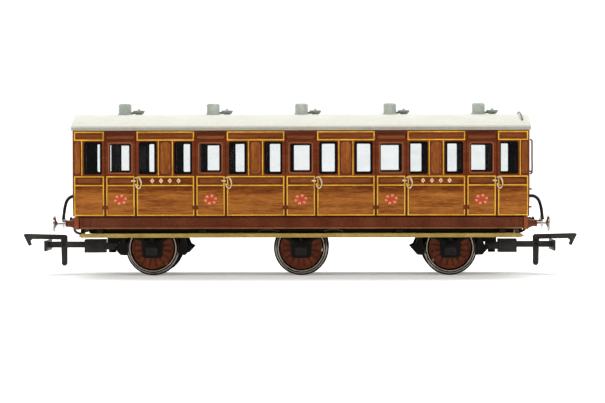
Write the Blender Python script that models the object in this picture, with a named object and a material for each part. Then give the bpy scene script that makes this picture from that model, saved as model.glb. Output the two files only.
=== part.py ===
"""Six-wheel passenger coach, 4 mm to the foot model, 16.5 mm gauge.

X runs along the coach, Z is up, and the lowest flange facets lie at z = 0.
All driving dimensions are in millimetres; MM turns them into metres.
"""
import math

import bmesh
import bpy
from mathutils import Matrix, Vector

MM = 0.001

# ---------------------------------------------------------------- dimensions
BODY_HALF_L = 64.75
BODY_HALF_W = 15.80
BODY_FOOT_HALF_W = 15.20
BODY_Z0 = 17.10
BODY_TURN_Z = 23.50
BODY_Z1 = 41.45
WALL_T = 1.00

COMPARTMENTS = 5
COMPARTMENT_PITCH = 25.60
DOOR_GAP_OFFSET = 4.34
DOOR_GAP_W = 0.30
DOOR_GAP_DEPTH = 0.25
DOOR_LIGHT_HALF_W = 2.98
DOOR_LIGHT_Z = (29.70, 37.65)
QUARTER_LIGHT_X = (5.20, 10.35)
QUARTER_LIGHT_Z = (29.05, 38.30)
LIGHT_CORNER = 0.70
VENT_HALF_W = 3.55
VENT_Z = (38.80, 40.60)
VENT_PROUD = 0.50

ROOF_HALF_L = 65.10
ROOF_HALF_W = 16.50
ROOF_EAVE_Z = 41.60
ROOF_SPRING_Z = 42.40
ROOF_CROWN_Z = 46.20
ROOF_T = 1.02
ROOF_SEGMENTS = 18

LAMP_R = 1.80
LAMP_FLANGE_R = 2.15
LAMP_TOP_Z = 49.40
LAMP_SEAT_Z = 46.26
LAMP_DISH_OFFSET = 4.00
LAMP_DISH_R = 1.70

FLOOR_Z = (16.45, 17.40)
FLOOR_HALF_L = 62.90
FLOOR_HALF_W = 13.20
BALLAST = (54.0, 11.0, 17.50, 18.50)
SEAT_FLOOR_Z = (18.60, 19.20)
SEAT_TOP_Z = 22.60
SEAT_BACK_Z = 28.40
SEAT_DEPTH = 6.20
PARTITION_TOP_Z = 41.00
PARTITION_T = 0.90

SOLEBAR_Z = (13.55, 16.85)
SOLEBAR_Y = (13.75, 14.85)
SOLEBAR_HALF_L = 62.95
SOLEBAR_LIP = 0.40
BEAM_X = (63.20, 64.40)
BEAM_HALF_W = 14.80
BEAM_Z = (13.35, 16.95)
FOOTBOARD_HALF_L = 63.20
FOOTBOARD_Z = (11.10, 12.25)
FOOTBOARD_Y = (14.30, 16.70)

AXLE_X = (-42.50, 0.00, 42.50)
FLANGE_R = 8.00
TREAD_R = 7.05
TYRE_BORE_R = 6.05
WHEEL_SEGMENTS = 20
AXLE_Z = FLANGE_R * math.cos(math.pi / WHEEL_SEGMENTS)
WHEEL_INNER_Y = 7.20
WHEEL_OUTER_Y = 10.00
FLANGE_T = 0.80
AXLE_R = 1.00
AXLE_HALF_L = 13.00
CENTRE_AXLE_HALF_L = 12.40
FIT_GAP = 0.06

GUARD_Y = (11.70, 12.20)
GUARD_HALF_W = 2.80
GUARD_FOOT_Z = 5.10
AXLEBOX_HALF_W = 1.30
AXLEBOX_Y = 14.00
BRAKE_Y = (8.30, 9.80)

BUFFER_Y = 11.50
BUFFER_Z = 15.00
BUFFER_FACE_X = 71.00
BUFFER_HEAD_R = 2.35
BUFFER_TRAVEL = 1.00

COUPLING_PIVOT_X = 55.00
COUPLING_BAR_Z = (7.75, 9.45)
COUPLING_SEAT = {"left": 0.40, "right": -0.75}
POCKET_SEAT = {"left": -0.10, "right": -0.85}
HOOK_PIVOT = (68.50, 8.65)


# ------------------------------------------------------------------- finishes
def srgb(code):
    """Turn a hex colour into linear RGBA."""
    values = []
    for i in (0, 2, 4):
        c = int(code[i:i + 2], 16) / 255.0
        values.append(c / 12.92 if c <= 0.04045 else ((c + 0.055) / 1.055) ** 2.4)
    return (values[0], values[1], values[2], 1.0)


FINISHES = {
    "teak_body_plastic": ("8a4f24", 0.38, 0.0),
    "roof_cream_paint": ("e6e6da", 0.55, 0.0),
    "lamp_grey_paint": ("8d948c", 0.45, 0.0),
    "clear_glazing": ("e8eef0", 0.08, 0.0),
    "seat_dark_plastic": ("2a211c", 0.60, 0.0),
    "ballast_steel": ("8c8f92", 0.40, 1.0),
    "chassis_black_plastic": ("17130f", 0.50, 0.0),
    "solebar_brown_plastic": ("68351a", 0.45, 0.0),
    "footboard_tan_plastic": ("a58c47", 0.50, 0.0),
    "coupling_dark_plastic": ("34312f", 0.50, 0.0),
    "hose_black_plastic": ("1b1a1a", 0.42, 0.0),
    "handrail_brown_wire": ("5a2f18", 0.40, 0.0),
    "buffer_steel": ("cfcbc6", 0.25, 1.0),
    "spring_steel": ("b9bcbf", 0.30, 1.0),
    "axle_steel": ("9fa2a4", 0.30, 1.0),
    "tyre_steel": ("b8ada0", 0.28, 1.0),
    "wheel_brown_plastic": ("5e2c18", 0.45, 0.0),
}


def finish(name):
    """Return the named material, made on first use."""
    found = bpy.data.materials.get(name)
    if found:
        return found
    code, roughness, metallic = FINISHES[name]
    material = bpy.data.materials.new(name)
    material.use_nodes = True
    shader = material.node_tree.nodes["Principled BSDF"]
    shader.inputs["Base Color"].default_value = srgb(code)
    shader.inputs["Roughness"].default_value = roughness
    shader.inputs["Metallic"].default_value = metallic
    return material


# -------------------------------------------------------------------- helpers
def from_bmesh(name, bm):
    """Close a bmesh into an object with faces out; coordinates are in mm."""
    bmesh.ops.recalc_face_normals(bm, faces=bm.faces)
    bmesh.ops.scale(bm, vec=(MM, MM, MM), verts=bm.verts)
    mesh = bpy.data.meshes.new(name)
    bm.to_mesh(mesh)
    bm.free()
    obj = bpy.data.objects.new(name, mesh)
    bpy.context.collection.objects.link(obj)
    return obj


def axis_point(axis, u, v, t):
    """Place section coordinates (u, v) at distance t along an axis."""
    if axis == "X":
        return (t, u, v)
    if axis == "Y":
        return (u, t, v)
    return (u, v, t)


def prism(name, outline, axis, lo, hi):
    """Extrude a closed outline along an axis from lo to hi."""
    bm = bmesh.new()
    low = [bm.verts.new(axis_point(axis, u, v, lo)) for u, v in outline]
    high = [bm.verts.new(axis_point(axis, u, v, hi)) for u, v in outline]
    bm.faces.new(low)
    bm.faces.new(high)
    count = len(outline)
    for i in range(count):
        j = (i + 1) % count
        bm.faces.new((low[i], low[j], high[j], high[i]))
    return from_bmesh(name, bm)


def block(name, x, y, z):
    """Box between three (low, high) pairs."""
    outline = [(y[0], z[0]), (y[1], z[0]), (y[1], z[1]), (y[0], z[1])]
    return prism(name, outline, "X", x[0], x[1])


def revolve(name, profile, axis, centre, segments, loop=False):
    """Turn a (radius, distance) profile about an axis through centre."""
    bm = bmesh.new()
    rings = []
    for radius, along in profile:
        ring = []
        if radius <= 1e-6:
            ring.append(bm.verts.new(turned(axis, centre, 0.0, 0.0, along)))
        else:
            for k in range(segments):
                a = 2.0 * math.pi * (k + 0.5) / segments - math.pi / 2.0
                ring.append(bm.verts.new(turned(axis, centre, radius, a, along)))
        rings.append(ring)
    pairs = list(zip(rings, rings[1:]))
    if loop:
        pairs.append((rings[-1], rings[0]))
    for first, second in pairs:
        for k in range(segments):
            n = (k + 1) % segments
            if len(first) == 1:
                bm.faces.new((first[0], second[n], second[k]))
            elif len(second) == 1:
                bm.faces.new((first[k], first[n], second[0]))
            else:
                bm.faces.new((first[k], first[n], second[n], second[k]))
    obj = from_bmesh(name, bm)
    smooth(obj)
    return obj


def turned(axis, centre, radius, angle, along):
    """Point of a revolved profile; the first facet faces down."""
    u = radius * math.cos(angle)
    v = radius * math.sin(angle)
    if axis == "X":
        return (centre[0] + along, centre[1] + u, centre[2] + v)
    if axis == "Y":
        return (centre[0] + u, centre[1] + along, centre[2] + v)
    return (centre[0] + u, centre[1] + v, centre[2] + along)


def tube(name, points, radius, sides):
    """Sweep a round wire through a list of points, ends capped."""
    bm = bmesh.new()
    path = [Vector(p) for p in points]
    rings = []
    tangent = (path[1] - path[0]).normalized()
    side = tangent.orthogonal().normalized()
    for i, point in enumerate(path):
        before = path[max(i - 1, 0)]
        after = path[min(i + 1, len(path) - 1)]
        turn = tangent.rotation_difference((after - before).normalized())
        side = turn @ side
        tangent = (after - before).normalized()
        other = tangent.cross(side)
        ring = []
        for k in range(sides):
            a = 2.0 * math.pi * k / sides
            ring.append(bm.verts.new(point + radius * (side * math.cos(a) + other * math.sin(a))))
        rings.append(ring)
    for first, second in zip(rings, rings[1:]):
        for k in range(sides):
            n = (k + 1) % sides
            bm.faces.new((first[k], first[n], second[n], second[k]))
    bm.faces.new(rings[0])
    bm.faces.new(rings[-1])
    obj = from_bmesh(name, bm)
    smooth(obj)
    return obj


def smooth(obj, degrees=35.0):
    """Shade smooth and keep the hard edges."""
    for polygon in obj.data.polygons:
        polygon.use_smooth = True
    obj.data.set_sharp_from_angle(angle=math.radians(degrees))


def boolean(target, tools, operation):
    """Apply a Boolean of every tool to the target and drop the tools."""
    for tool in tools:
        modifier = target.modifiers.new("bool", "BOOLEAN")
        modifier.operation = operation
        modifier.solver = "EXACT"
        modifier.object = tool
        bpy.context.view_layer.update()
        graph = bpy.context.evaluated_depsgraph_get()
        result = bpy.data.meshes.new_from_object(target.evaluated_get(graph))
        target.modifiers.clear()
        old = target.data
        target.data = result
        bpy.data.meshes.remove(old)
        bpy.data.objects.remove(tool, do_unlink=True)
    return target


def union(target, *tools):
    return boolean(target, tools, "UNION")


def cut(target, *tools):
    return boolean(target, tools, "DIFFERENCE")


def merged(name, pieces):
    """Join loose, non-overlapping pieces into one tool."""
    bm = bmesh.new()
    for piece in pieces:
        bm.from_mesh(piece.data)
        bpy.data.objects.remove(piece, do_unlink=True)
    mesh = bpy.data.meshes.new(name)
    bm.to_mesh(mesh)
    bm.free()
    obj = bpy.data.objects.new(name, mesh)
    bpy.context.collection.objects.link(obj)
    return obj


def done(obj, name, material, origin=None):
    """Name a finished piece, give it its finish and its origin."""
    obj.name = name
    obj.data.name = name
    bm = bmesh.new()
    bm.from_mesh(obj.data)
    bmesh.ops.remove_doubles(bm, verts=bm.verts, dist=0.00002)
    bmesh.ops.dissolve_limit(bm, angle_limit=0.002, verts=bm.verts, edges=bm.edges)
    bmesh.ops.recalc_face_normals(bm, faces=bm.faces)
    bm.to_mesh(obj.data)
    bm.free()
    obj.data.materials.clear()
    obj.data.materials.append(finish(material))
    if origin:
        spot = Vector(origin) * MM
        obj.data.transform(Matrix.Translation(-spot))
        obj.location = spot
    return obj


def mirrored(outline, sign):
    """Outline flipped in its first coordinate when sign is negative."""
    return [(sign * u, v) for u, v in outline]


def chamfered(x, z, corner):
    """Rectangle outline with cut corners."""
    return [
        (x[0] + corner, z[0]), (x[1] - corner, z[0]), (x[1], z[0] + corner), (x[1], z[1] - corner),
        (x[1] - corner, z[1]), (x[0] + corner, z[1]), (x[0], z[1] - corner), (x[0], z[0] + corner),
    ]


def span(a, b):
    """Sorted pair."""
    return (min(a, b), max(a, b))


def compartment_centres():
    half = (COMPARTMENTS - 1) / 2
    return [COMPARTMENT_PITCH * (k - half) for k in range(COMPARTMENTS)]


def arc_z(radius, y):
    """Height of a roof arc at a distance from the centre line."""
    rise = ROOF_CROWN_Z - ROOF_SPRING_Z
    outer = (ROOF_HALF_W ** 2 + rise ** 2) / (2.0 * rise)
    centre = ROOF_CROWN_Z - outer
    return centre + math.sqrt((outer - radius) ** 2 - y ** 2)


# ----------------------------------------------------------------- body group
def side_profile(offset, sign):
    """Side wall section from foot to top, moved in or out by offset."""
    points = [
        (BODY_FOOT_HALF_W + offset, BODY_Z0),
        (BODY_FOOT_HALF_W + 0.38 + offset, BODY_Z0 + 3.0),
        (BODY_HALF_W + offset, BODY_TURN_Z),
        (BODY_HALF_W + offset, BODY_Z1),
    ]
    return [(sign * y, z) for y, z in points]


def end_outline(inset):
    """Full end wall outline with an arched top under the roof."""
    steps = 12
    half = BODY_HALF_W - inset
    top = []
    for k in range(steps + 1):
        y = half - 2.0 * half * k / steps
        top.append((y, arc_z(ROOF_T + 0.15, y)))
    right = [(y - inset, z) for y, z in side_profile(0.0, 1)[:3]]
    left = [(-y, z) for y, z in reversed(right)]
    return right + top + left


def build_body():
    outline = side_profile(0.0, 1) + list(reversed(side_profile(0.0, -1)))
    body = prism("body", outline, "X", -BODY_HALF_L, BODY_HALF_L)
    inner = side_profile(-WALL_T, 1) + list(reversed(side_profile(-WALL_T, -1)))
    inner[0] = (inner[0][0], BODY_Z0 - 1.0)
    inner[-1] = (inner[-1][0], BODY_Z0 - 1.0)
    inner[3] = (inner[3][0], BODY_Z1 + 1.0)
    inner[4] = (inner[4][0], BODY_Z1 + 1.0)
    hollow = BODY_HALF_L - WALL_T
    cut(body, prism("hollow", inner, "X", -hollow, hollow))
    for sign in (-1, 1):
        lo, hi = span(sign * (BODY_HALF_L - WALL_T), sign * BODY_HALF_L)
        union(body, prism("end", end_outline(0.0), "X", lo, hi))
    lights = []
    for xc in compartment_centres():
        door = (xc - DOOR_LIGHT_HALF_W, xc + DOOR_LIGHT_HALF_W)
        lights.append(prism("l", chamfered(door, DOOR_LIGHT_Z, LIGHT_CORNER * 0.5), "Y", -18, 18))
        for sign in (-1, 1):
            pair = span(xc + sign * QUARTER_LIGHT_X[0], xc + sign * QUARTER_LIGHT_X[1])
            outline = chamfered(pair, QUARTER_LIGHT_Z, LIGHT_CORNER * 0.5)
            lights.append(prism("l", outline, "Y", -18, 18))
    cut(body, merged("lights", lights))
    grooves = []
    extras = []
    for side in (-1, 1):
        inner_line = side_profile(-DOOR_GAP_DEPTH, side)
        section = [(side * 18.0, BODY_Z0 + 0.5)] + inner_line[1:3]
        section[1:1] = [(side * (BODY_FOOT_HALF_W - DOOR_GAP_DEPTH + 0.06), BODY_Z0 + 0.5)]
        section += [(inner_line[3][0], VENT_Z[1] + 0.3), (side * 18.0, VENT_Z[1] + 0.3)]
        for xc in compartment_centres():
            for sign in (-1, 1):
                gap = xc + sign * DOOR_GAP_OFFSET
                lo = gap - DOOR_GAP_W / 2
                hi = gap + DOOR_GAP_W / 2
                grooves.append(prism("g", section, "X", lo, hi))
            extras.append(build_vent(xc, side))
            extras.append(build_handle(xc, side))
            extras.append(build_grab(xc, side))
    cut(body, merged("grooves", grooves))
    for sign in (-1, 1):
        extras.extend(build_end_steps(sign))
    union(body, merged("extras", extras))
    return done(body, "body_shell", "teak_body_plastic")


def build_vent(xc, side):
    """Hooded ventilator over a door."""
    base = BODY_HALF_W - 0.2
    section = [
        (side * base, VENT_Z[0]), (side * (BODY_HALF_W + VENT_PROUD), VENT_Z[0] + 0.2),
        (side * (BODY_HALF_W + VENT_PROUD * 0.6), VENT_Z[1] - 0.3), (side * base, VENT_Z[1]),
    ]
    return prism("v", section, "X", xc - VENT_HALF_W, xc + VENT_HALF_W)


def build_handle(xc, side):
    """Short T handle beside the door gap; hinges are at the other edge."""
    x = span(xc - side * 3.10, xc - side * 4.10)
    y = span(side * (BODY_HALF_W - 0.2), side * (BODY_HALF_W + 0.45))
    return block("h", x, y, (26.95, 27.45))


def build_grab(xc, side):
    """Curved grab handle beyond the door gap."""
    outer = []
    inner = []
    for k in range(7):
        a = -math.pi / 2 + math.pi * k / 6
        outer.append((-side * (4.80 + 1.30 * math.cos(a)), 26.6 + 1.75 * math.sin(a)))
        inner.append((-side * (4.80 + 0.86 * math.cos(a)), 26.6 + 1.33 * math.sin(a)))
    outline = [(xc + x, z) for x, z in outer + list(reversed(inner))]
    lo, hi = span(side * (BODY_HALF_W - 0.2), side * (BODY_HALF_W + 0.40))
    return prism("g", outline, "Y", lo, hi)


def build_end_steps(side):
    """Three small treads up one edge of the right-hand end wall."""
    steps = []
    for z in (19.4, 24.5, 29.5):
        y = span(side * 13.5, side * 10.5)
        steps.append(block("s", (BODY_HALF_L - 0.2, BODY_HALF_L + 0.85), y, (z, z + 0.4)))
    return steps


def build_roof():
    outer = []
    inner = []
    inner_half = BODY_HALF_W + 0.10
    for k in range(ROOF_SEGMENTS + 1):
        f = 1.0 - 2.0 * k / ROOF_SEGMENTS
        outer.append((ROOF_HALF_W * f, arc_z(0.0, ROOF_HALF_W * f)))
        inner.append((inner_half * f, arc_z(ROOF_T, inner_half * f)))
    outline = [(ROOF_HALF_W, ROOF_EAVE_Z)] + outer + [(-ROOF_HALF_W, ROOF_EAVE_Z)]
    outline += list(reversed(inner))
    roof = prism("roof", outline, "X", -ROOF_HALF_L, ROOF_HALF_L)
    done(roof, "roof", "roof_cream_paint")
    smooth(roof, 20.0)


def build_lamps():
    for number, xc in enumerate(compartment_centres(), start=1):
        z0 = LAMP_SEAT_Z
        profile = [
            (0.0, z0), (LAMP_FLANGE_R, z0), (LAMP_FLANGE_R, z0 + 0.35), (LAMP_R, z0 + 0.45),
            (LAMP_R, LAMP_TOP_Z - 0.35), (LAMP_R - 0.35, LAMP_TOP_Z), (0.0, LAMP_TOP_Z),
        ]
        lamp = revolve("lamp", profile, "Z", (xc, 0, 0), 14)
        dish = [
            (0.0, z0), (0.85, z0), (1.35, z0 + 0.25), (LAMP_DISH_R - 0.08, z0 + 0.70),
            (LAMP_DISH_R, z0 + 1.00), (1.60, z0 + 1.12), (0.32, z0 + 1.25), (0.32, z0 + 1.62),
            (0.0, z0 + 1.64),
        ]
        union(lamp, revolve("dish", dish, "Z", (xc + LAMP_DISH_OFFSET, 0, 0), 12))
        link = (xc + LAMP_R - 0.3, xc + LAMP_DISH_OFFSET - 0.8)
        union(lamp, block("link", link, (-0.3, 0.3), (z0 + 0.10, z0 + 0.70)))
        done(lamp, "roof_lamp_%d" % number, "lamp_grey_paint", (xc, 0, LAMP_SEAT_Z))
        smooth(lamp)


def build_glazing():
    for side, tag in ((-1, "near"), (1, "far")):
        y = span(side * (BODY_HALF_W - WALL_T - 0.06), side * (BODY_HALF_W - WALL_T - 0.66))
        done(block("pane", (-63.2, 63.2), y, (27.6, 39.8)), "glazing_" + tag, "clear_glazing")


def build_interior():
    """Moulded floor with bench seats and full-height partitions."""
    floor_low, floor_top = SEAT_FLOOR_Z
    half = COMPARTMENTS * COMPARTMENT_PITCH / 2 - 0.9
    edges = [-half]
    edges += [COMPARTMENT_PITCH * (k + 0.5 - COMPARTMENTS / 2 + 0.5) for k in range(COMPARTMENTS - 1)]
    edges += [half]
    outline = [(-half, floor_low), (half, floor_low)]
    for i in range(len(edges) - 1, 0, -1):
        right = edges[i] - PARTITION_T / 2
        left = edges[i - 1] + PARTITION_T / 2
        top = SEAT_BACK_Z if i == len(edges) - 1 else PARTITION_TOP_Z
        if i == len(edges) - 1:
            outline.append((half, top))
        outline += [
            (right, top), (right, SEAT_BACK_Z), (right - 1.0, SEAT_BACK_Z),
            (right - 1.6, SEAT_TOP_Z), (right - SEAT_DEPTH, SEAT_TOP_Z),
            (right - SEAT_DEPTH + 0.8, floor_top), (left + SEAT_DEPTH - 0.8, floor_top),
            (left + SEAT_DEPTH, SEAT_TOP_Z), (left + 1.6, SEAT_TOP_Z),
            (left + 1.0, SEAT_BACK_Z), (left, SEAT_BACK_Z),
        ]
        if i > 1:
            outline.append((left, PARTITION_TOP_Z))
        else:
            outline.append((-half, SEAT_BACK_Z))
    clean = [p for k, p in enumerate(outline) if p != outline[k - 1]]
    seats = prism("seats", clean, "Y", -13.30, 13.30)
    done(seats, "compartment_interior", "seat_dark_plastic")
    half_l, half_w, z0, z1 = BALLAST
    plate = block("plate", (-half_l, half_l), (-half_w, half_w), (z0, z1))
    done(plate, "ballast_plate", "ballast_steel")


# -------------------------------------------------------------- chassis group
def build_underframe():
    length = (-FLOOR_HALF_L, FLOOR_HALF_L)
    frame = block("frame", length, (-FLOOR_HALF_W, FLOOR_HALF_W), FLOOR_Z)
    parts = []
    low = FLOOR_Z[0] + 0.2
    for side in (-1, 1):
        rail = (-60.4, 60.4)
        parts.append(block("p", rail, span(side * 12.40, side * 13.20), (12.30, low)))
        parts.append(block("p", span(side * 61.9, side * 62.9), (-12.5, 12.5), (12.30, low)))
        spine = span(side * 11.0, side * 60.2)
        parts.append(block("p", spine, (-3.0, 3.0), (12.60, low)))
    parts.append(block("p", (-11.5, 11.5), (-3.0, 3.0), (13.60, low)))
    for part in parts:
        union(frame, part)
    for side in (-1, 1):
        pivot = [(1.10, 12.80), (1.10, 6.30), (0.0, 6.30)]
        profile = [(0.0, 12.80)] + pivot
        union(frame, revolve("pin", profile, "Z", (side * COUPLING_PIVOT_X, 0, 0), 12))
        for x in (-57.0, -28.0, 28.0, 57.0):
            arm = span(side * 13.0, side * 16.0)
            union(frame, block("arm", (x - 0.9, x + 0.9), arm, (12.36, 13.35)))
    done(frame, "underframe", "chassis_black_plastic")


def build_solebars():
    z0, z1 = SOLEBAR_Z
    y0, y1 = SOLEBAR_Y
    for side, tag in ((-1, "near"), (1, "far")):
        section = [
            (y0, z0), (y1 + SOLEBAR_LIP, z0), (y1 + SOLEBAR_LIP, z0 + 0.40), (y1, z0 + 0.55),
            (y1, z1), (y0, z1),
        ]
        bar = prism("bar", mirrored(section, side), "X", -SOLEBAR_HALF_L, SOLEBAR_HALF_L)
        done(bar, "solebar_" + tag, "solebar_brown_plastic")
        z2, z3 = FOOTBOARD_Z
        half = FOOTBOARD_HALF_L
        board = [
            (-half, z2 + 0.45), (-half + 0.9, z2), (half - 0.9, z2), (half, z2 + 0.45),
            (half - 0.9, z3), (-half + 0.9, z3),
        ]
        lo, hi = span(side * FOOTBOARD_Y[0], side * FOOTBOARD_Y[1])
        done(prism("board", board, "Y", lo, hi), "footboard_" + tag, "footboard_tan_plastic")


def build_beams():
    """Headstock with two buffer housings and a draw hook."""
    for end, tag in ((-1, "left"), (1, "right")):
        beam = block("beam", span(end * BEAM_X[0], end * BEAM_X[1]), (-BEAM_HALF_W, BEAM_HALF_W), BEAM_Z)
        face = BEAM_X[1]
        for side in (-1, 1):
            centre = (0, side * BUFFER_Y, BUFFER_Z)
            housing = [
                (0.0, face - 0.5), (1.72, face - 0.5), (1.72, face), (1.36, face + 0.50),
                (1.02, face + 1.10), (0.95, face + 1.60), (0.95, 67.20), (0.0, 67.20),
            ]
            housing = [(r, end * x) for r, x in housing]
            union(beam, revolve("housing", housing, "X", centre, 12))
            bore = [(0.0, 60.0), (0.76, 60.0), (0.76, 66.90), (0.46, 66.90), (0.46, 69.0), (0.0, 69.0)]
            bore = [(r, end * x) for r, x in bore]
            cut(beam, revolve("bore", bore, "X", centre, 12))
        hook = [
            (face - 0.3, 15.7), (66.3, 15.7), (67.1, 15.3), (67.5, 15.8), (67.3, 16.5),
            (66.7, 16.6), (66.8, 16.2), (66.2, 16.4), (face - 0.3, 16.4),
        ]
        union(beam, prism("hook", mirrored(hook, end), "Y", -0.35, 0.35))
        done(beam, "buffer_beam_" + tag, "solebar_brown_plastic")
        smooth(beam)


def build_buffers():
    for end, end_tag in ((-1, "left"), (1, "right")):
        for side, side_tag in ((-1, "near"), (1, "far")):
            tag = end_tag + "_" + side_tag
            origin = (end * BUFFER_FACE_X, side * BUFFER_Y, BUFFER_Z)
            centre = (0, side * BUFFER_Y, BUFFER_Z)
            profile = [
                (0.0, 71.00), (1.20, 71.00), (2.35, 70.62), (2.35, 70.30), (0.80, 69.90),
                (0.36, 69.70), (0.36, 66.80), (0.66, 66.78), (0.66, 66.30), (0.30, 66.28),
                (0.30, 64.60), (0.0, 64.60),
            ]
            profile = [(r, end * x) for r, x in profile]
            head = revolve("head", profile, "X", centre, 12)
            done(head, "buffer_head_" + tag, "buffer_steel", origin)
            smooth(head)
            coil = []
            turns = 4.0
            steps = 28
            for k in range(steps + 1):
                a = 2.0 * math.pi * turns * k / steps
                x = 63.50 + (66.12 - 63.50) * k / steps
                y = side * BUFFER_Y + 0.55 * math.cos(a)
                coil.append((end * x, y, BUFFER_Z + 0.55 * math.sin(a)))
            spring = tube("spring", coil, 0.09, 4)
            done(spring, "buffer_spring_" + tag, "spring_steel")


def build_guards():
    """Axleguard with axlebox and leaf spring; outer ones carry brake blocks."""
    tags = ("left", "centre", "right")
    for position, xc in enumerate(AXLE_X):
        for side, side_tag in ((-1, "near"), (1, "far")):
            arm = 6.20 if position == 1 else 9.00
            outline = [
                (-2.80, 5.60), (-2.30, GUARD_FOOT_Z), (2.30, GUARD_FOOT_Z), (2.80, 5.60),
                (3.10, 10.20), (5.20, 11.60), (arm, 11.60), (arm, 12.24), (-arm, 12.24),
                (-arm, 11.60), (-5.20, 11.60), (-3.10, 10.20),
            ]
            outline = [(xc + x, z) for x, z in outline]
            lo, hi = span(side * GUARD_Y[0], side * GUARD_Y[1])
            guard = prism("guard", outline, "Y", lo, hi)
            box_y = span(side * (GUARD_Y[1] - 0.2), side * AXLEBOX_Y)
            box_x = (xc - AXLEBOX_HALF_W, xc + AXLEBOX_HALF_W)
            union(guard, block("box", box_x, box_y, (AXLE_Z - 1.90, AXLE_Z + 1.60)))
            leaf = [
                (-5.40, 10.75), (-1.2, 9.35), (1.2, 9.35), (5.40, 10.75), (5.40, 11.35),
                (1.2, 10.30), (-1.2, 10.30), (-5.40, 11.35),
            ]
            leaf = [(xc + x, z) for x, z in leaf]
            leaf_y = span(side * (GUARD_Y[1] - 0.2), side * 13.6)
            union(guard, prism("leaf", leaf, "Y", leaf_y[0], leaf_y[1]))
            hanger_y = span(side * (GUARD_Y[1] - 0.2), side * 13.2)
            for sign in (-1, 1):
                x = span(xc + sign * 4.6, xc + sign * 5.3)
                union(guard, block("hang", x, hanger_y, (10.9, 12.24)))
            bore = [
                (0.0, 10.0), (AXLE_R + 0.09, 10.0), (AXLE_R + 0.09, AXLE_HALF_L - 1.15),
                (0.09, AXLE_HALF_L), (0.0, AXLE_HALF_L + 0.08),
            ]
            if position == 1:
                bore = [(0.0, 10.0), (1.05, 10.0), (1.05, 13.70), (0.0, 13.70)]
            bore = [(r, side * y) for r, y in bore]
            cut(guard, revolve("bore", bore, "Y", (xc, 0, AXLE_Z), 12))
            if position != 1:
                add_brakes(guard, xc, side)
            name = "axleguard_%s_%s" % (tags[position], side_tag)
            done(guard, name, "chassis_black_plastic")


def add_brakes(guard, xc, side):
    """Brake blocks clear of the tread, hung from the foot of the guard flange."""
    for sign in (-1, 1):
        shoe = [
            (7.45, 8.60), (7.25, 6.80), (7.60, 5.80), (9.30, 5.90), (10.20, 6.90),
            (11.20, 8.00), (10.00, 8.60), (9.30, 10.20), (9.00, 12.20), (7.90, 12.20),
            (7.90, 10.00),
        ]
        shoe = [(xc + sign * x, z) for x, z in shoe]
        lo, hi = span(side * BRAKE_Y[0], side * BRAKE_Y[1])
        union(guard, prism("shoe", shoe, "Y", lo, hi))
        x = span(xc + sign * 7.95, xc + sign * 8.85)
        y = span(side * (GUARD_Y[1] - 0.05), side * (BRAKE_Y[0] + 0.2))
        union(guard, block("bar", x, y, (11.30, 12.10)))


# --------------------------------------------------------------- wheel group
def build_wheelsets():
    tags = ("left", "centre", "right")
    for position, xc in enumerate(AXLE_X):
        origin = (xc, 0, AXLE_Z)
        half = AXLE_HALF_L
        if position == 1:
            half = CENTRE_AXLE_HALF_L
            profile = [(0.0, -half), (0.80, -half), (0.95, -half + 0.3), (0.95, half - 0.3),
                       (0.80, half), (0.0, half)]
        else:
            profile = [(0.0, -half), (AXLE_R, -half + 1.15), (AXLE_R, half - 1.15), (0.0, half)]
        axle = revolve("axle", profile, "Y", origin, 12)
        done(axle, "axle_" + tags[position], "axle_steel", origin)
        smooth(axle)
        for side, side_tag in ((-1, "near"), (1, "far")):
            tyre = [
                (TYRE_BORE_R, WHEEL_INNER_Y), (FLANGE_R - 0.15, WHEEL_INNER_Y),
                (FLANGE_R, WHEEL_INNER_Y + 0.35), (TREAD_R + 0.20, WHEEL_INNER_Y + FLANGE_T),
                (TREAD_R, WHEEL_INNER_Y + FLANGE_T + 0.20), (TREAD_R, WHEEL_OUTER_Y),
                (TYRE_BORE_R, WHEEL_OUTER_Y),
            ]
            tyre = [(r, side * y) for r, y in tyre]
            ring = revolve("tyre", tyre, "Y", origin, WHEEL_SEGMENTS, loop=True)
            name = "tyre_%s_%s" % (tags[position], side_tag)
            done(ring, name, "tyre_steel", origin)
            smooth(ring)
            bore = AXLE_R + FIT_GAP
            rim = TYRE_BORE_R - FIT_GAP
            centre = [
                (bore, 6.60), (1.70, 6.60), (1.90, 7.60), (rim, 7.60), (rim, 9.85),
                (5.30, 9.85), (5.20, 9.45), (1.90, 9.45), (1.55, 10.45), (bore, 10.45),
            ]
            centre = [(r, side * y) for r, y in centre]
            disc = revolve("disc", centre, "Y", origin, WHEEL_SEGMENTS, loop=True)
            name = "wheel_centre_%s_%s" % (tags[position], side_tag)
            done(disc, name, "wheel_brown_plastic", origin)
            smooth(disc)


# ------------------------------------------------------------- fittings group
def build_hoses():
    for end, tag in ((-1, "left"), (1, "right")):
        path = [
            (65.10, 22.45), (66.40, 22.60), (67.30, 22.40), (68.10, 21.80), (68.65, 20.95),
            (68.95, 20.00), (69.20, 18.90), (69.35, 17.70), (69.50, 16.60), (69.65, 15.80),
        ]
        y = -end * 2.60
        points = [(end * x, y, z) for x, z in path]
        hose = tube("hose", points, 0.46, 8)
        base = block("clip", span(end * 64.90, end * 65.40), (y - 0.55, y + 0.55), (22.05, 23.15))
        union(hose, base)
        done(hose, "brake_hose_" + tag, "hose_black_plastic")
        smooth(hose)
        path = [
            (64.95, 14.00), (65.25, 13.60), (65.30, 13.05), (64.95, 12.50), (64.20, 12.10),
            (63.20, 11.85), (62.30, 11.80),
        ]
        points = [(end * x, end * 6.50, z) for x, z in path]
        pipe = tube("pipe", points, 0.38, 8)
        done(pipe, "heating_pipe_" + tag, "hose_black_plastic")
        smooth(pipe)


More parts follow.
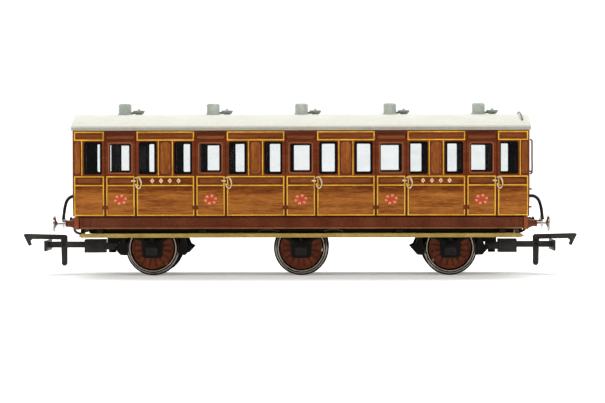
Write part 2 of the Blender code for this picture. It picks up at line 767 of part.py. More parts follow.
def build_handrails():
    """Wire rail over the roof and two upright rails, all at the right-hand end."""
    x = 62.95
    half = [(12.3, arc_z(0.0, 12.3) + 0.20), (11.6, 44.85), (8.8, 45.60), (6.0, 46.30), (3.0, 46.95)]
    points = [(x, -y, z) for y, z in half] + [(x, 0.0, 47.20)]
    points += [(x, y, z) for y, z in reversed(half)]
    rail = tube("rail", points, 0.20, 6)
    done(rail, "roof_handrail", "handrail_brown_wire")
    smooth(rail)
    for side, tag in ((-1, "near"), (1, "far")):
        y = side * 14.6
        wall = BODY_HALF_L + 0.22
        points = [
            (wall, y, 38.70), (wall + 0.70, y, 38.50), (wall + 0.80, y, 37.90),
            (wall + 0.80, y, 29.80), (wall + 0.70, y, 29.20), (wall, y, 29.00),
        ]
        rail = tube("rail", points, 0.18, 6)
        done(rail, "end_handrail_" + tag, "handrail_brown_wire")
        smooth(rail)


def build_couplings():
    """Pocket on a swinging arm, tension bar, and a lifting hook."""
    for end, tag in ((-1, "left"), (1, "right")):
        swing = (end * COUPLING_PIVOT_X, 0, 8.20)
        arm = block("arm", span(end * 53.2, end * 57.5), (-2.4, 2.4), (7.20, 9.20))
        seat = COUPLING_SEAT[tag]
        mouth = 63.0 + POCKET_SEAT[tag]
        box = block("box", span(end * 56.8, end * mouth), (-2.6, 2.6), (6.30, 10.15))
        union(arm, box)
        pin = revolve("hole", [(0.0, 5.0), (1.45, 5.0), (1.45, 12.0), (0.0, 12.0)], "Z",
                      (end * COUPLING_PIVOT_X, 0, 0), 12)
        socket = block("socket", span(end * 58.0, end * 65.0), (-1.75, 1.75), (7.45, 9.75))
        cut(arm, pin)
        cut(arm, socket)
        done(arm, "coupling_pocket_" + tag, "coupling_dark_plastic", swing)
        z0, z1 = COUPLING_BAR_Z
        shank = block("shank", span(end * 59.4, end * (73.3 + seat)), (-1.60, 1.60), (z0, z1))
        plate = [
            (73.05, -7.40), (73.60, -7.40), (73.85, -5.60), (73.85, 5.60), (73.60, 7.40),
            (73.05, 7.40),
        ]
        plate = [(x + seat, y) for x, y in plate]
        front = prism("front", mirrored(plate, end), "Z", 6.90, 9.85)
        union(shank, front)
        slot = block("slot", span(end * (66.5 + seat), end * (71.6 + seat)), (-0.80, 0.80), (5.0, 12.0))
        cut(shank, slot)
        eye = [(0.0, -3.0), (0.55, -3.0), (0.55, 3.0), (0.0, 3.0)]
        pivot = (end * (HOOK_PIVOT[0] + seat), 0, HOOK_PIVOT[1])
        cut(shank, revolve("eye", eye, "Y", pivot, 10))
        done(shank, "coupling_bar_" + tag, "coupling_dark_plastic", swing)
        outline = [
            (67.70, 10.90), (68.10, 11.45), (79.95, 11.75), (80.50, 11.45), (78.95, 8.20),
            (78.10, 8.45), (78.45, 9.75), (77.80, 10.20), (69.60, 10.05), (69.50, 8.50),
            (69.35, 3.00), (68.90, 2.45), (68.20, 2.45), (67.75, 3.00), (67.72, 8.10),
        ]
        outline = [(x + seat, z) for x, z in outline]
        hook = prism("hook", mirrored(outline, end), "Y", -0.50, 0.50)
        axis = [(0.0, -1.30), (0.38, -1.30), (0.38, 1.30), (0.0, 1.30)]
        union(hook, revolve("axis", axis, "Y", pivot, 10))
        done(hook, "coupling_hook_" + tag, "coupling_dark_plastic", pivot)


# ----------------------------------------------------------------------- main
def main():
    for obj in list(bpy.data.objects):
        bpy.data.objects.remove(obj, do_unlink=True)
    build_body()
    build_roof()
    build_lamps()
    build_glazing()
    build_interior()
    build_underframe()
    build_solebars()
    build_beams()
    build_buffers()
    build_guards()
    build_wheelsets()
    build_hoses()
    build_handrails()
    build_couplings()


main()
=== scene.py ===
import math

import bmesh
import bpy
from mathutils import Matrix, Vector


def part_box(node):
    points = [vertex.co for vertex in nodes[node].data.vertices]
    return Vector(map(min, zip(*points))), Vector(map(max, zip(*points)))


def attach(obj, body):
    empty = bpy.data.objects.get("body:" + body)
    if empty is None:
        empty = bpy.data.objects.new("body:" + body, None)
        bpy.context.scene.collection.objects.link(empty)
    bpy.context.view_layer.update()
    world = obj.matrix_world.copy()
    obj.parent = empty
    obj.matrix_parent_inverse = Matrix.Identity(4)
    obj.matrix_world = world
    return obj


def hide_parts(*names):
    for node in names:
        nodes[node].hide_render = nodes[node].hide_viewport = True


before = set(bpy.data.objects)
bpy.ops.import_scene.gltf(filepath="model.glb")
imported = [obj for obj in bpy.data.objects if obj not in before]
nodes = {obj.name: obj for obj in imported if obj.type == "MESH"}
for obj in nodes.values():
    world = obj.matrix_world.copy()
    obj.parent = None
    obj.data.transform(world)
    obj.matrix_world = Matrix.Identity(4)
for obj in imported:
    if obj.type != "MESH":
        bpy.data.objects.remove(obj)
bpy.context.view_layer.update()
scene = bpy.context.scene
MM = 0.001


# ---- measured places
# Millimetres throughout: X along the coach, Y across it, Z up from the rail.
HALF_LENGTH = 64.75
SIDE = 15.80
PITCH = 25.60
DOORS = [PITCH * k for k in (-2, -1, 0, 1, 2)]
BAYS = [PITCH * k for k in (-1.5, -0.5, 0.5, 1.5)]
AXLES = {}
for place in ("left", "centre", "right"):
    low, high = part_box("axle_" + place)
    AXLES[place] = (low / MM + high / MM) / 2
FLANKS = {"near": -1, "far": 1}
ENDS = {"left": -1, "right": 1}
# Bends of the turned-under side: height and half width.
SIDE_BENDS = ((17.1, 15.20), (20.1, 15.58), (23.5, SIDE))
# Wall thicknesses of the shell behind its print.
END_WALL, SIDE_WALL = 0.9, 0.75
# Roof: height of the crown, height where the arch springs, half width there.
CROWN, SPRING, ROOF_HALF = 46.2, 42.4, 16.5
ROOF_RADIUS = (ROOF_HALF ** 2 + (CROWN - SPRING) ** 2) / (2 * (CROWN - SPRING))


# ---- materials
def paint(code):
    """sRGB hex to linear colour."""
    out = []
    for i in (0, 2, 4):
        c = int(code[i:i + 2], 16) / 255
        out.append(c / 12.92 if c <= 0.04045 else ((c + 0.055) / 1.055) ** 2.4)
    return (*out, 1.0)


def add(tree, kind, links=(), **settings):
    """Add a node, set its sockets or attributes, and link outputs to its inputs."""
    made = tree.nodes.new(kind)
    for key, value in settings.items():
        if key.startswith("in_"):
            made.inputs[int(key[3:])].default_value = value
        else:
            setattr(made, key, value)
    for source, target in links:
        tree.links.new(source, made.inputs[target])
    return made


def finish(name, **constants):
    """New material: returns its tree, its shader and object coordinates."""
    material = bpy.data.materials.new(name)
    material.use_nodes = True
    tree = material.node_tree
    shader = tree.nodes["Principled BSDF"]
    for key, value in constants.items():
        shader.inputs[key.replace("_", " ")].default_value = value
    place = tree.nodes.new("ShaderNodeTexCoord").outputs["Object"]
    return material, tree, shader, place


def tones(tree, factor, stops):
    """Colour ramp through hex colours."""
    ramp = add(tree, "ShaderNodeValToRGB", [(factor, 0)])
    line = ramp.color_ramp
    while len(line.elements) < len(stops):
        line.elements.new(0.5)
    for element, (at, code) in zip(line.elements, stops):
        element.position = at
        element.color = paint(code)
    return ramp.outputs[0]


def spaced(codes):
    """Colour stops at equal steps over the range that the noise really covers."""
    low, high = 0.35, 0.65
    step = (high - low) / (len(codes) - 1)
    return [(low + step * k, code) for k, code in enumerate(codes)]


def cloud(tree, place, size_mm, detail=3.0, rough=0.55):
    """Noise whose blobs are size_mm across along X, Y and Z."""
    scale = tuple(1.0 / (s * MM) for s in size_mm)
    spread = add(tree, "ShaderNodeMapping", [(place, 0)], in_3=scale)
    noise = add(tree, "ShaderNodeTexNoise", [(spread.outputs[0], 0)],
                in_2=1.0, in_3=detail, in_4=rough)
    return noise.outputs[0]


def reckon(tree, operation, first, second=None, **constants):
    """Math node on one or two outputs; in_1 gives a constant second term."""
    links = [(first, 0)] + ([] if second is None else [(second, 1)])
    return add(tree, "ShaderNodeMath", links, operation=operation, **constants).outputs[0]


def texture_surface(tree, shader, height, depth_mm, rough_from, rough_to, rough_by):
    """Bump from a height and a roughness that wanders between two values."""
    bump = add(tree, "ShaderNodeBump", [(height, "Height")], in_0=0.6, in_1=depth_mm * MM)
    tree.links.new(bump.outputs[0], shader.inputs["Normal"])
    span = add(tree, "ShaderNodeMapRange", [(rough_by, 0)],
               in_1=0.3, in_2=0.7, in_3=rough_from, in_4=rough_to)
    tree.links.new(span.outputs[0], shader.inputs["Roughness"])


def moulded(name, codes, grain_mm, depth_mm, rough, gloss=0.18):
    """Plain moulded or painted surface: mottled tone, fine grain, uneven sheen."""
    material, tree, shader, place = finish(name, Specular_IOR_Level=gloss)
    broad = cloud(tree, place, (grain_mm * 9,) * 3, 2.0)
    fine = cloud(tree, place, (grain_mm,) * 3, 4.0)
    mean = reckon(tree, "MULTIPLY", reckon(tree, "ADD", broad, fine), in_1=0.5)
    tree.links.new(tones(tree, mean, spaced(codes)), shader.inputs["Base Color"])
    texture_surface(tree, shader, fine, depth_mm, rough[0], rough[1], broad)
    return material


def teak(name, along, stops, dark_band=None):
    """Printed wood grain under a satin varnish, streaks running along X or Z.

    dark_band is the pair of heights between which the tone falls off.
    """
    material, tree, shader, place = finish(name, IOR=1.45)
    shader.inputs["Specular IOR Level"].default_value = 0.12
    streak = (7.0, 3.0, 0.42) if along == "X" else (0.42, 3.0, 7.0)
    band = (16.0, 8.0, 1.9) if along == "X" else (1.5, 8.0, 16.0)
    pore = (1.6, 1.0, 0.16) if along == "X" else (0.16, 1.0, 1.6)
    fine = cloud(tree, place, streak, 3.0, 0.6)
    broad = cloud(tree, place, band, 2.0)
    pores = cloud(tree, place, pore, 2.0)
    total = reckon(tree, "ADD", reckon(tree, "ADD", fine, broad), pores)
    value = reckon(tree, "MULTIPLY", total, in_1=1 / 3)
    if dark_band:
        height = add(tree, "ShaderNodeSeparateXYZ", [(place, 0)])
        low, high = dark_band
        shade = add(tree, "ShaderNodeMapRange", [(height.outputs[2], 0)],
                    in_1=low * MM, in_2=high * MM, in_3=0.0, in_4=0.16)
        value = reckon(tree, "SUBTRACT", value, shade.outputs[0])
    tree.links.new(tones(tree, value, stops), shader.inputs["Base Color"])
    texture_surface(tree, shader, fine, 0.02, 0.34, 0.46, broad)
    return material


# Printed teak on satin plastic: red-brown framing, golden panels, grain in thin streaks.
LONG_STOPS = [(0.33, "60290c"), (0.44, "874a17"), (0.52, "a16024"), (0.62, "b6732e")]
framing_print = teak("framing_teak_print", "X",
                     [(0.36, "5a2410"), (0.5, "6e3116"), (0.64, "7e3d1c")])
panel_print = teak("panel_teak_print", "X", LONG_STOPS, dark_band=(23.0, 25.6))
waist_print = teak("waist_teak_print", "X", [(0.36, "5f2b11"), (0.5, "7c421b"), (0.62, "97582a")])
upright_print = teak("upright_teak_print", "Z",
                     [(0.36, "61290f"), (0.5, "884a1d"), (0.6, "a3612a")])
cant_print = teak("cant_rail_teak_print", "X",
                  [(0.36, "5c280f"), (0.5, "7a3d18"), (0.62, "8d4b22")])
# Metallic ink line: yellow gold, a little uneven where the print breaks up.
gold_ink = moulded("gold_lining_ink", ("be8722", "dfa62d", "f4c042"), 0.5, 0.01, (0.32, 0.45))
# Thin dark lines round the raised fields and inside the gold lines: painted shade along the steps
# of the panels.
shade_line_ink = moulded("lining_painted_shade", ("3a1608", "52230d"), 0.6, 0.01, (0.4, 0.5))
door_moulding = moulded("door_light_moulding", ("88502d", "a56c45"), 0.8, 0.01, (0.35, 0.45))
# Self-coloured gloss black round the panes.
pane_black = moulded("pane_edge_black", ("040404", "080707"), 0.6, 0.005, (0.25, 0.35), 0.1)
roof_paint = moulded("roof_off_white_paint", ("bcbcb0", "c4c4b8", "cbcbc1"), 0.7, 0.02, (0.5, 0.65))
# Greyer copy of the roof paint: painted shade on the upright eave and the gutter beads.
eave_shade_paint = moulded("roof_eave_painted_shade", ("9c988d", "adaa9f"), 0.7, 0.02, (0.5, 0.65))
eave_under = moulded("roof_edge_brown_shade", ("2a170c", "3a2315"), 0.7, 0.02, (0.5, 0.65))
lamp_paint = moulded("lamp_grey_green_paint", ("a9b1a7", "bac1b7", "cbd0c7"), 0.45, 0.02,
                     (0.4, 0.55))
# Darker copy of the lamp paint: painted shade on the bowls and link pipes.
bowl_shade_paint = moulded("lamp_bowl_painted_shade", ("848c83", "9ea69d"), 0.45, 0.02, (0.4, 0.55))
seat_plastic = moulded("seat_dark_plastic", ("050404", "080606"), 0.8, 0.02, (0.55, 0.7), 0.06)
chassis_black = moulded("chassis_black_plastic", ("080605", "15110e"), 0.5, 0.02, (0.45, 0.6), 0.14)
solebar_brown = moulded("solebar_brown_plastic", ("52220e", "5f2b13", "6c3619"), 0.6, 0.015,
                        (0.4, 0.52))
board_tan = moulded("footboard_tan_plastic", ("94793a", "a88e47", "b89d56"), 0.6, 0.02, (0.45, 0.6))
coupling_grey = moulded("coupling_dark_nylon", ("262422", "403c39"), 0.4, 0.02, (0.42, 0.58))
hose_black = moulded("hose_black_plastic", ("101010", "222120"), 0.4, 0.01, (0.35, 0.5))
wheel_brown = moulded("wheel_brown_plastic", ("692e15", "803c1e", "934c28"), 0.5, 0.02, (0.38, 0.5))
# Khaki: the roof handrail's own paint, and painted highlight on the spring clips.
khaki_wire_and_clip_highlight = moulded("rail_khaki_wire_and_clip_highlight", ("575243", "736d5a"), 0.4, 0.01, (0.35, 0.5))
lid_grey = moulded("axlebox_grey_plastic", ("181716", "252322"), 0.4, 0.015, (0.4, 0.55))
# Dark joints between the disc segments, and painted shade in the groove round the disc.
joint_dark_and_groove_shade = moulded("wheel_joint_dark_and_groove_shade", ("1c0d07", "2b150c"), 0.5, 0.01, (0.45, 0.6))
beam_brown = moulded("headstock_brown_plastic", ("7c3a1c", "94502b"), 0.6, 0.015, (0.35, 0.45))
# Lighter brown on the solebar's lower lip: painted highlight on the same plastic.
lip_highlight_brown = moulded("solebar_lip_painted_highlight", ("7c4a26", "96602f"), 0.6, 0.015, (0.35, 0.45))
# Darker teak on the ventilator hoods: painted shade under the eave.
vent_shade_teak = moulded("vent_teak_painted_shade", ("45180b", "5a2511"), 0.6, 0.01, (0.38, 0.48))
rail_brown = moulded("handrail_brown_wire", ("451f10", "5c2c18"), 0.4, 0.01, (0.35, 0.5))
rosette_red = moulded("transfer_red_ink", ("b8401f", "cc5532"), 0.4, 0.005, (0.4, 0.5))
rosette_cream = moulded("transfer_cream_ink", ("e2bd92", "efd3ac"), 0.4, 0.005, (0.4, 0.5))


def turned_metal(name, codes, ring_mm, rough, axis):
    """Bright metal cut in a lathe: fine rings round the axis, grey tone that wanders."""
    material, tree, shader, place = finish(name, Metallic=1.0)
    stretch = {"X": (ring_mm, 5.0, 5.0), "Y": (5.0, ring_mm, 5.0), "Z": (5.0, 5.0, ring_mm)}[axis]
    rings = cloud(tree, place, stretch, 2.0)
    broad = cloud(tree, place, (2.5, 2.5, 2.5), 3.0)
    tree.links.new(tones(tree, broad, spaced(codes)), shader.inputs["Base Color"])
    texture_surface(tree, shader, rings, 0.01, rough[0], rough[1], broad)
    return material


METAL = ("8d8680", "a9a29b", "c3beb8")
# Bright metal on two thin rings of each tyre: painted highlight on the blackened tyres.
tyre_highlight_metal = turned_metal("tyre_turned_metal", ("8a8177", "b5ada3"), 0.12, (0.24, 0.36), "Y")
tyre_dark = turned_metal("tyre_blackened_metal", ("100e0d", "191615"), 0.2, (0.45, 0.6), "Y")
axle_steel = turned_metal("axle_turned_steel", METAL, 0.15, (0.25, 0.4), "Y")
buffer_steel = turned_metal("buffer_turned_steel", ("a49f98", "d2cec8"), 0.12, (0.2, 0.32), "X")
spring_steel = turned_metal("spring_drawn_steel", METAL, 0.1, (0.25, 0.35), "X")
plate_steel = turned_metal("ballast_rolled_steel", METAL, 0.4, (0.35, 0.5), "X")
brass = moulded("handle_pale_brass_paint", ("c3a67c", "e6cfa6"), 0.3, 0.005, (0.25, 0.4), 0.4)


def clear_pane():
    """Injection-moulded clear styrene: slight tint, polished, faint flow marks."""
    material, tree, shader, place = finish("glazing_clear_styrene", Roughness=0.02, IOR=1.49)
    shader.inputs["Transmission Weight"].default_value = 1.0
    flow = cloud(tree, place, (6.0, 2.0, 3.0), 2.0)
    tint = tones(tree, flow, [(0.3, "f2f5f5"), (0.7, "fbfcfc")])
    tree.links.new(tint, shader.inputs["Base Color"])
    return material


glazing_clear = clear_pane()


def body_print():
    """Framing print outside, black moulding inside the shell."""
    material = framing_print.copy()
    material.name = "body_shell_print"
    tree = material.node_tree
    shader = tree.nodes["Principled BSDF"]
    place = next(n for n in tree.nodes if n.type == "TEX_COORD").outputs["Object"]
    outer = shader.inputs["Base Color"].links[0].from_socket
    parts = add(tree, "ShaderNodeSeparateXYZ", [(place, 0)])
    masks = []
    for output, limit in ((0, HALF_LENGTH - END_WALL), (1, SIDE - SIDE_WALL)):
        size = reckon(tree, "ABSOLUTE", parts.outputs[output])
        masks.append(reckon(tree, "LESS_THAN", size, in_1=limit * MM))
    inside = reckon(tree, "MULTIPLY", *masks)
    dark = add(tree, "ShaderNodeMix", [(inside, 0), (outer, 6)], data_type="RGBA")
    dark.inputs[7].default_value = paint("040303")
    tree.links.new(dark.outputs[2], shader.inputs["Base Color"])
    return material


body_finish = body_print()


# ---- modelling helpers
def deselect():
    if bpy.context.mode != "OBJECT":
        bpy.ops.object.mode_set(mode="OBJECT")
    for obj in list(bpy.context.selected_objects):
        obj.select_set(False)


def point(x, y, z):
    return (x * MM, y * MM, z * MM)


def new_piece(name, *slots):
    """Name the object just added and give it material slots."""
    obj = bpy.context.active_object
    obj.name = name
    obj.data.name = name
    obj.data.materials.clear()
    for material in slots:
        obj.data.materials.append(material)
    return obj


def only(obj):
    deselect()
    obj.select_set(True)
    bpy.context.view_layer.objects.active = obj
    return obj


def settle(obj):
    """Put place, turn and size into the mesh."""
    only(obj)
    bpy.ops.object.transform_apply(location=True, rotation=True, scale=True)
    return obj


def smooth(obj, degrees):
    only(obj)
    bpy.ops.object.shade_smooth_by_angle(angle=math.radians(degrees))


def edit(obj, mode="FACE"):
    only(obj)
    bpy.ops.object.mode_set(mode="EDIT")
    bpy.ops.mesh.select_mode(type=mode)
    bpy.ops.mesh.select_all(action="SELECT")


def done():
    bpy.ops.object.mode_set(mode="OBJECT")


def pick(obj, test, kind="faces"):
    """Select the faces, edges or vertices for which test(element) is true."""
    bpy.ops.mesh.select_all(action="DESELECT")
    mesh = bmesh.from_edit_mesh(obj.data)
    for element in getattr(mesh, kind):
        if test(element):
            element.select_set(True)
    bmesh.update_edit_mesh(obj.data)


def give(obj, index):
    obj.active_material_index = index
    bpy.ops.object.material_slot_assign()


def shift(x=0.0, y=0.0, z=0.0):
    bpy.ops.transform.translate(value=point(x, y, z))


def join(name, parts):
    deselect()
    for part in parts:
        part.select_set(True)
    bpy.context.view_layer.objects.active = parts[0]
    if len(parts) > 1:
        bpy.ops.object.join()
    parts[0].name = name
    parts[0].data.name = name
    return parts[0]


def copied(obj, offset=(0, 0, 0), turn=0.0):
    """Copy with its own mesh, turned about Z and moved, in the mesh."""
    twin = obj.copy()
    twin.data = obj.data.copy()
    bpy.context.collection.objects.link(twin)
    twin.data.transform(Matrix.Translation(point(*offset)) @ Matrix.Rotation(turn, 4, "Z"))
    return twin


def both_sides(obj, name):
    """The near-side piece and its half-turned twin for the far side."""
    obj.name = name + "_near"
    twin = copied(obj, turn=math.pi)
    twin.name = name + "_far"
    for piece in (obj, twin):
        piece.data.name = piece.name
        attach(piece, "coach")


def flat(name, x, z, y, corner, slots, rounding=3):
    """Upright rectangle facing the near side, corners rounded."""
    deselect()
    middle = point((x[0] + x[1]) / 2, y, (z[0] + z[1]) / 2)
    bpy.ops.mesh.primitive_plane_add(size=1, location=middle, rotation=(math.pi / 2, 0, 0))
    obj = new_piece(name, *slots)
    obj.scale = ((x[1] - x[0]) * MM, (z[1] - z[0]) * MM, 1)
    settle(obj)
    if corner:
        edit(obj, "VERT")
        bpy.ops.mesh.bevel(affect="VERTICES", offset=corner * MM, segments=rounding)
        done()
    return obj


def skirt(obj, depth):
    """Extrude the open border back into what is behind it."""
    edit(obj, "EDGE")
    pick(obj, lambda e: e.is_boundary, "edges")
    bpy.ops.mesh.extrude_edges_move(TRANSFORM_OT_translate={"value": point(0, depth, 0)})
    bpy.ops.mesh.select_all(action="SELECT")
    bpy.ops.mesh.normals_make_consistent(inside=False)
    done()


def wire(name, route, radius, material, sides=3, resolution=10):
    """Round wire or hose on one smooth curve, ends capped."""
    deselect()
    places = [Vector(point(*p)) for p in route]
    bpy.ops.mesh.primitive_plane_add(size=0.1 * MM, location=places[0])
    obj = settle(new_piece(name))
    edit(obj, "VERT")
    bpy.ops.mesh.merge(type="CENTER")
    for before, after in zip(places, places[1:]):
        bpy.ops.mesh.extrude_vertices_move(TRANSFORM_OT_translate={"value": after - before})
    done()
    bpy.ops.object.convert(target="CURVE")
    bpy.ops.object.mode_set(mode="EDIT")
    bpy.ops.curve.select_all(action="SELECT")
    bpy.ops.curve.spline_type_set(type="BEZIER")
    bpy.ops.curve.handle_type_set(type="AUTOMATIC")
    bpy.ops.object.mode_set(mode="OBJECT")
    curve = bpy.context.active_object.data
    curve.bevel_depth = radius * MM
    curve.bevel_resolution = sides
    curve.use_fill_caps = True
    curve.resolution_u = resolution
    for spline in curve.splines:
        spline.resolution_u = resolution
    bpy.ops.object.convert(target="MESH")
    obj = new_piece(name, material)
    smooth(obj, 40)
    return obj


def block(name, centre, size, slots, ease=None, segments=2):
    """Rectangular block, its edges bevelled by ease."""
    deselect()
    bpy.ops.mesh.primitive_cube_add(size=1, location=point(*centre))
    obj = new_piece(name, *slots)
    obj.scale = point(*size)
    settle(obj)
    if ease:
        edit(obj)
        bpy.ops.mesh.bevel(offset=ease * MM, segments=segments, affect="EDGES")
        done()
    return obj


def rod(name, place, radius, depth, sides, material, turn=(math.pi / 2, 0, 0)):
    """Plain cylinder, facing sideways unless turned."""
    deselect()
    bpy.ops.mesh.primitive_cylinder_add(vertices=sides, radius=radius * MM, depth=depth * MM,
                                        location=point(*place), rotation=turn)
    return settle(new_piece(name, material))


def sunk_ends(obj, test):
    """Set in the end faces for which test(face) is true."""
    edit(obj)
    pick(obj, test)
    bpy.ops.mesh.inset(thickness=0.05 * MM, depth=0.03 * MM)
    done()
    return obj


def bolt(place, radius, sides, material):
    """Bolt head facing sideways."""
    head = rod("bolt", place, radius, 0.16, sides, material)
    return sunk_ends(head, lambda f: abs(f.normal.y) > 0.9)


def side_half_width(z):
    """Half width of the turned-under side at a height."""
    for (z0, w0), (z1, w1) in zip(SIDE_BENDS, SIDE_BENDS[1:]):
        if z <= z1:
            return w0 + (w1 - w0) * max(z - z0, -1.0) / (z1 - z0)
    return SIDE


def lay_on_side(obj):
    """Cut at the bends of the side and lean the lower part inward with it."""
    for z, _ in SIDE_BENDS[1:]:
        edit(obj)
        bpy.ops.mesh.bisect(plane_co=point(0, 0, z), plane_no=(0, 0, 1))
        done()
    for vertex in obj.data.vertices:
        vertex.co.y += (SIDE - side_half_width(vertex.co.z / MM)) * MM
    return obj


def lined_panel(name, x, z, field, split=None, dark=0.08, inner=None):
    """Panel with a gold line and a dark line of painted shade round a field of printed teak.

    split is the height of a gold line across the panel; inner gives the margin and width of a
    second dark line of painted shade.
    """
    line = 0.34
    obj = flat(name, x, z, -SIDE - 0.03, 0, (gold_ink, shade_line_ink, field))
    edit(obj)
    give(obj, 0)
    if split:
        bpy.ops.mesh.bisect(plane_co=point(0, 0, split), plane_no=(0, 0, 1))
        bpy.ops.mesh.select_all(action="SELECT")
        bpy.ops.mesh.inset(thickness=line / 2 * MM, use_individual=False)
        bpy.ops.mesh.inset(thickness=line / 2 * MM, use_individual=True)
    else:
        bpy.ops.mesh.inset(thickness=line * MM, use_individual=True)
    give(obj, 1)
    bpy.ops.mesh.inset(thickness=dark * MM, use_individual=True)
    give(obj, 2)
    shift(y=-0.04)
    if inner:
        bpy.ops.mesh.inset(thickness=inner[0] * MM, use_individual=True)
        give(obj, 1)
        bpy.ops.mesh.inset(thickness=inner[1] * MM, use_individual=True)
        give(obj, 2)
        shift(y=-0.04)
    pick(obj, lambda f: f.material_index == 0)
    shift(y=-0.1)
    done()
    skirt(obj, 0.35)
    return obj


def in_side_bays(make, name, bays=BAYS):
    """Model the long, door and end panels once and copy them along the side."""
    long_panel, door_panel, left_panel, right_panel = make()
    parts = [copied(long_panel, (x, 0, 0)) for x in bays]
    bpy.data.objects.remove(long_panel)
    if door_panel:
        parts += [copied(door_panel, (x, 0, 0)) for x in DOORS]
        bpy.data.objects.remove(door_panel)
    return join(name, parts + [left_panel, right_panel])


# From a door's centre: its edge, the line on the bay beside it, the line on the door.
DOOR_EDGE = 4.34
LINE_OUT = 5.04
LINE_IN = 4.01
HALF_BAY = PITCH / 2
PANEL_END = 64.35
# Height of the gold line between the lower panels and the waist.
WAIST_LINE = 25.9


def lower_panels():
    """Lower panels and the waist boxes over them, parted by a gold line."""
    reach = HALF_BAY - LINE_OUT + 0.36
    end = DOORS[0] - LINE_OUT + 0.36
    spans = {"long": (-reach, reach), "door": (-LINE_IN, LINE_IN),
             "left": (-PANEL_END, end), "right": (-end, PANEL_END)}
    return [lined_panel(name, x, (17.30, 28.56), panel_print, split=WAIST_LINE)
            for name, x in spans.items()]


def cant_panels():
    """Panels under the roof; the ventilators stand where a door would have one."""
    reach = HALF_BAY - 4.65
    end = DOORS[0] - 4.65
    long_panel, left_panel, right_panel = [
        lined_panel(name, x, (38.62, 41.22), cant_print, dark=0.1, inner=(0.34, 0.13))
        for name, x in (("long", (-reach, reach)), ("left", (-PANEL_END, end)),
                        ("right", (-end, PANEL_END)))]
    return long_panel, None, left_panel, right_panel


side = in_side_bays(lower_panels, "lower_panels")
lay_on_side(side)
both_sides(side, "lower_panels")
both_sides(in_side_bays(cant_panels, "cant_panels"), "cant_panels")


# ---- raised fields in the waist
def waist_fields():
    """Rounded raised fields inside the waist boxes, each with a line of painted shade round it."""
    z = (26.45, 28.02)
    reach = HALF_BAY - LINE_OUT - 0.5

    def field(name, x):
        obj = flat(name, x, z, -SIDE - 0.06, 0.45, (shade_line_ink, waist_print))
        edit(obj)
        bpy.ops.mesh.inset(thickness=0.16 * MM)
        give(obj, 1)
        shift(y=-0.06)
        done()
        skirt(obj, 0.3)
        return obj

    long_panel = field("long", (-reach, reach))
    door_panel = field("door", (-LINE_IN + 0.75, LINE_IN - 0.75))
    end = DOORS[0] - LINE_OUT - 0.5
    return long_panel, door_panel, field("left", (-63.5, end)), field("right", (-end, 63.5))


both_sides(in_side_bays(waist_fields, "waist_fields", BAYS[1:3]), "waist_fields")


# ---- uprights between quarter lights
def uprights():
    """Vertical gold strips and the round-ended panel between them, with a line of painted shade
    round the panel.
    """
    slots = (gold_ink, upright_print, shade_line_ink)
    parts = []
    for x in [b + s for b in BAYS for s in (-2.0, 2.0)] + [-62.15, 62.15]:
        strip = flat("strip", (x - 0.14, x + 0.14), (28.75, 38.55), -SIDE - 0.1, 0.12, slots, 2)
        skirt(strip, 0.3)
        parts.append(strip)
    spans = [(b - 1.55, b + 1.55) for b in BAYS] + [(-PANEL_END, -62.5), (62.5, PANEL_END)]
    for x in spans:
        corner = min(1.25, (x[1] - x[0]) * 0.42)
        panel = flat("panel", x, (29.0, 38.4), -SIDE - 0.04, corner, slots, 4)
        edit(panel)
        give(panel, 2)
        bpy.ops.mesh.inset(thickness=0.14 * MM)
        give(panel, 1)
        shift(y=-0.07)
        done()
        skirt(panel, 0.3)
        parts.append(panel)
    return join("uprights", parts)


both_sides(uprights(), "uprights")


# ---- window frames
def ring(name, x, z, y, corner, width, depth, material, clear=None):
    """Frame round an opening: rounded rectangle, inset, middle removed, then given depth.

    clear gives the opening's own left and right edge where the frame is uneven.
    """
    obj = flat(name, x, z, y, corner, (material,), 4)
    edit(obj)
    bpy.ops.mesh.inset(thickness=width * MM)
    bpy.ops.mesh.delete(type="FACE")
    done()
    if clear:
        left, right = x[0] + width, x[1] - width
        for vertex in obj.data.vertices:
            if inner_border(vertex, x, z, width):
                f = (vertex.co.x / MM - left) / (right - left)
                vertex.co.x = (clear[0] + f * (clear[1] - clear[0])) * MM
    skirt(obj, depth)
    return obj


def inner_border(vertex, x, z, width):
    """True for vertices of the opening's own edge."""
    near_x = min(abs(vertex.co.x / MM - edge) for edge in x)
    near_z = min(abs(vertex.co.z / MM - edge) for edge in z)
    return min(near_x, near_z) > width * 0.6


def window_frames():
    """Black pane edges, with a quarter light each side of the door light, and door beads."""
    black = []
    brown = []
    for x in DOORS:
        black.append(ring("pane", (x - 3.08, x + 3.08), (29.6, 37.75), -SIDE + 0.42,
                          0.55, 0.42, 0.3, pane_black, (x - 2.90, x + 2.46)))
        brown.append(ring("bead", (x - 3.45, x + 3.45), (29.25, 38.12), -SIDE - 0.14,
                          0.75, 0.2, 0.4, door_moulding))
        for s, clear in ((-1, (-9.65, -5.82)), (1, (5.5, 9.6))):
            c = x + s * 7.775
            black.append(ring("pane", (c - 2.68, c + 2.68), (28.95, 38.4), -SIDE + 0.3,
                              0.9, 0.64, 0.3, pane_black, (x + clear[0], x + clear[1])))
    return join("pane_edges", black), join("door_light_beads", brown)


panes, beads = window_frames()
both_sides(panes, "pane_edges")
both_sides(beads, "door_light_beads")


# ---- doors' ironmongery
def hinges():
    """Flat hinge plates with a round barrel, three to a door."""
    parts = []
    for x in DOORS:
        for z, half in ((19.65, 0.58), (28.85, 0.42), (39.4, 0.42)):
            wide = 0.85 if z < 20 else 0.4
            edge = x - DOOR_EDGE
            plate = flat("plate", (edge - wide, edge + wide), (z - half, z + half), -SIDE - 0.17,
                         0.18, (framing_print,))
            skirt(plate, 0.3)
            barrel = rod("barrel", (edge, -SIDE - 0.14, z), 0.2, half * 2.1, 16, framing_print,
                         (0, 0, 0))
            parts += [plate, sunk_ends(barrel, lambda f: abs(f.normal.z) > 0.9)]
    return lay_on_side(join("hinges", parts))


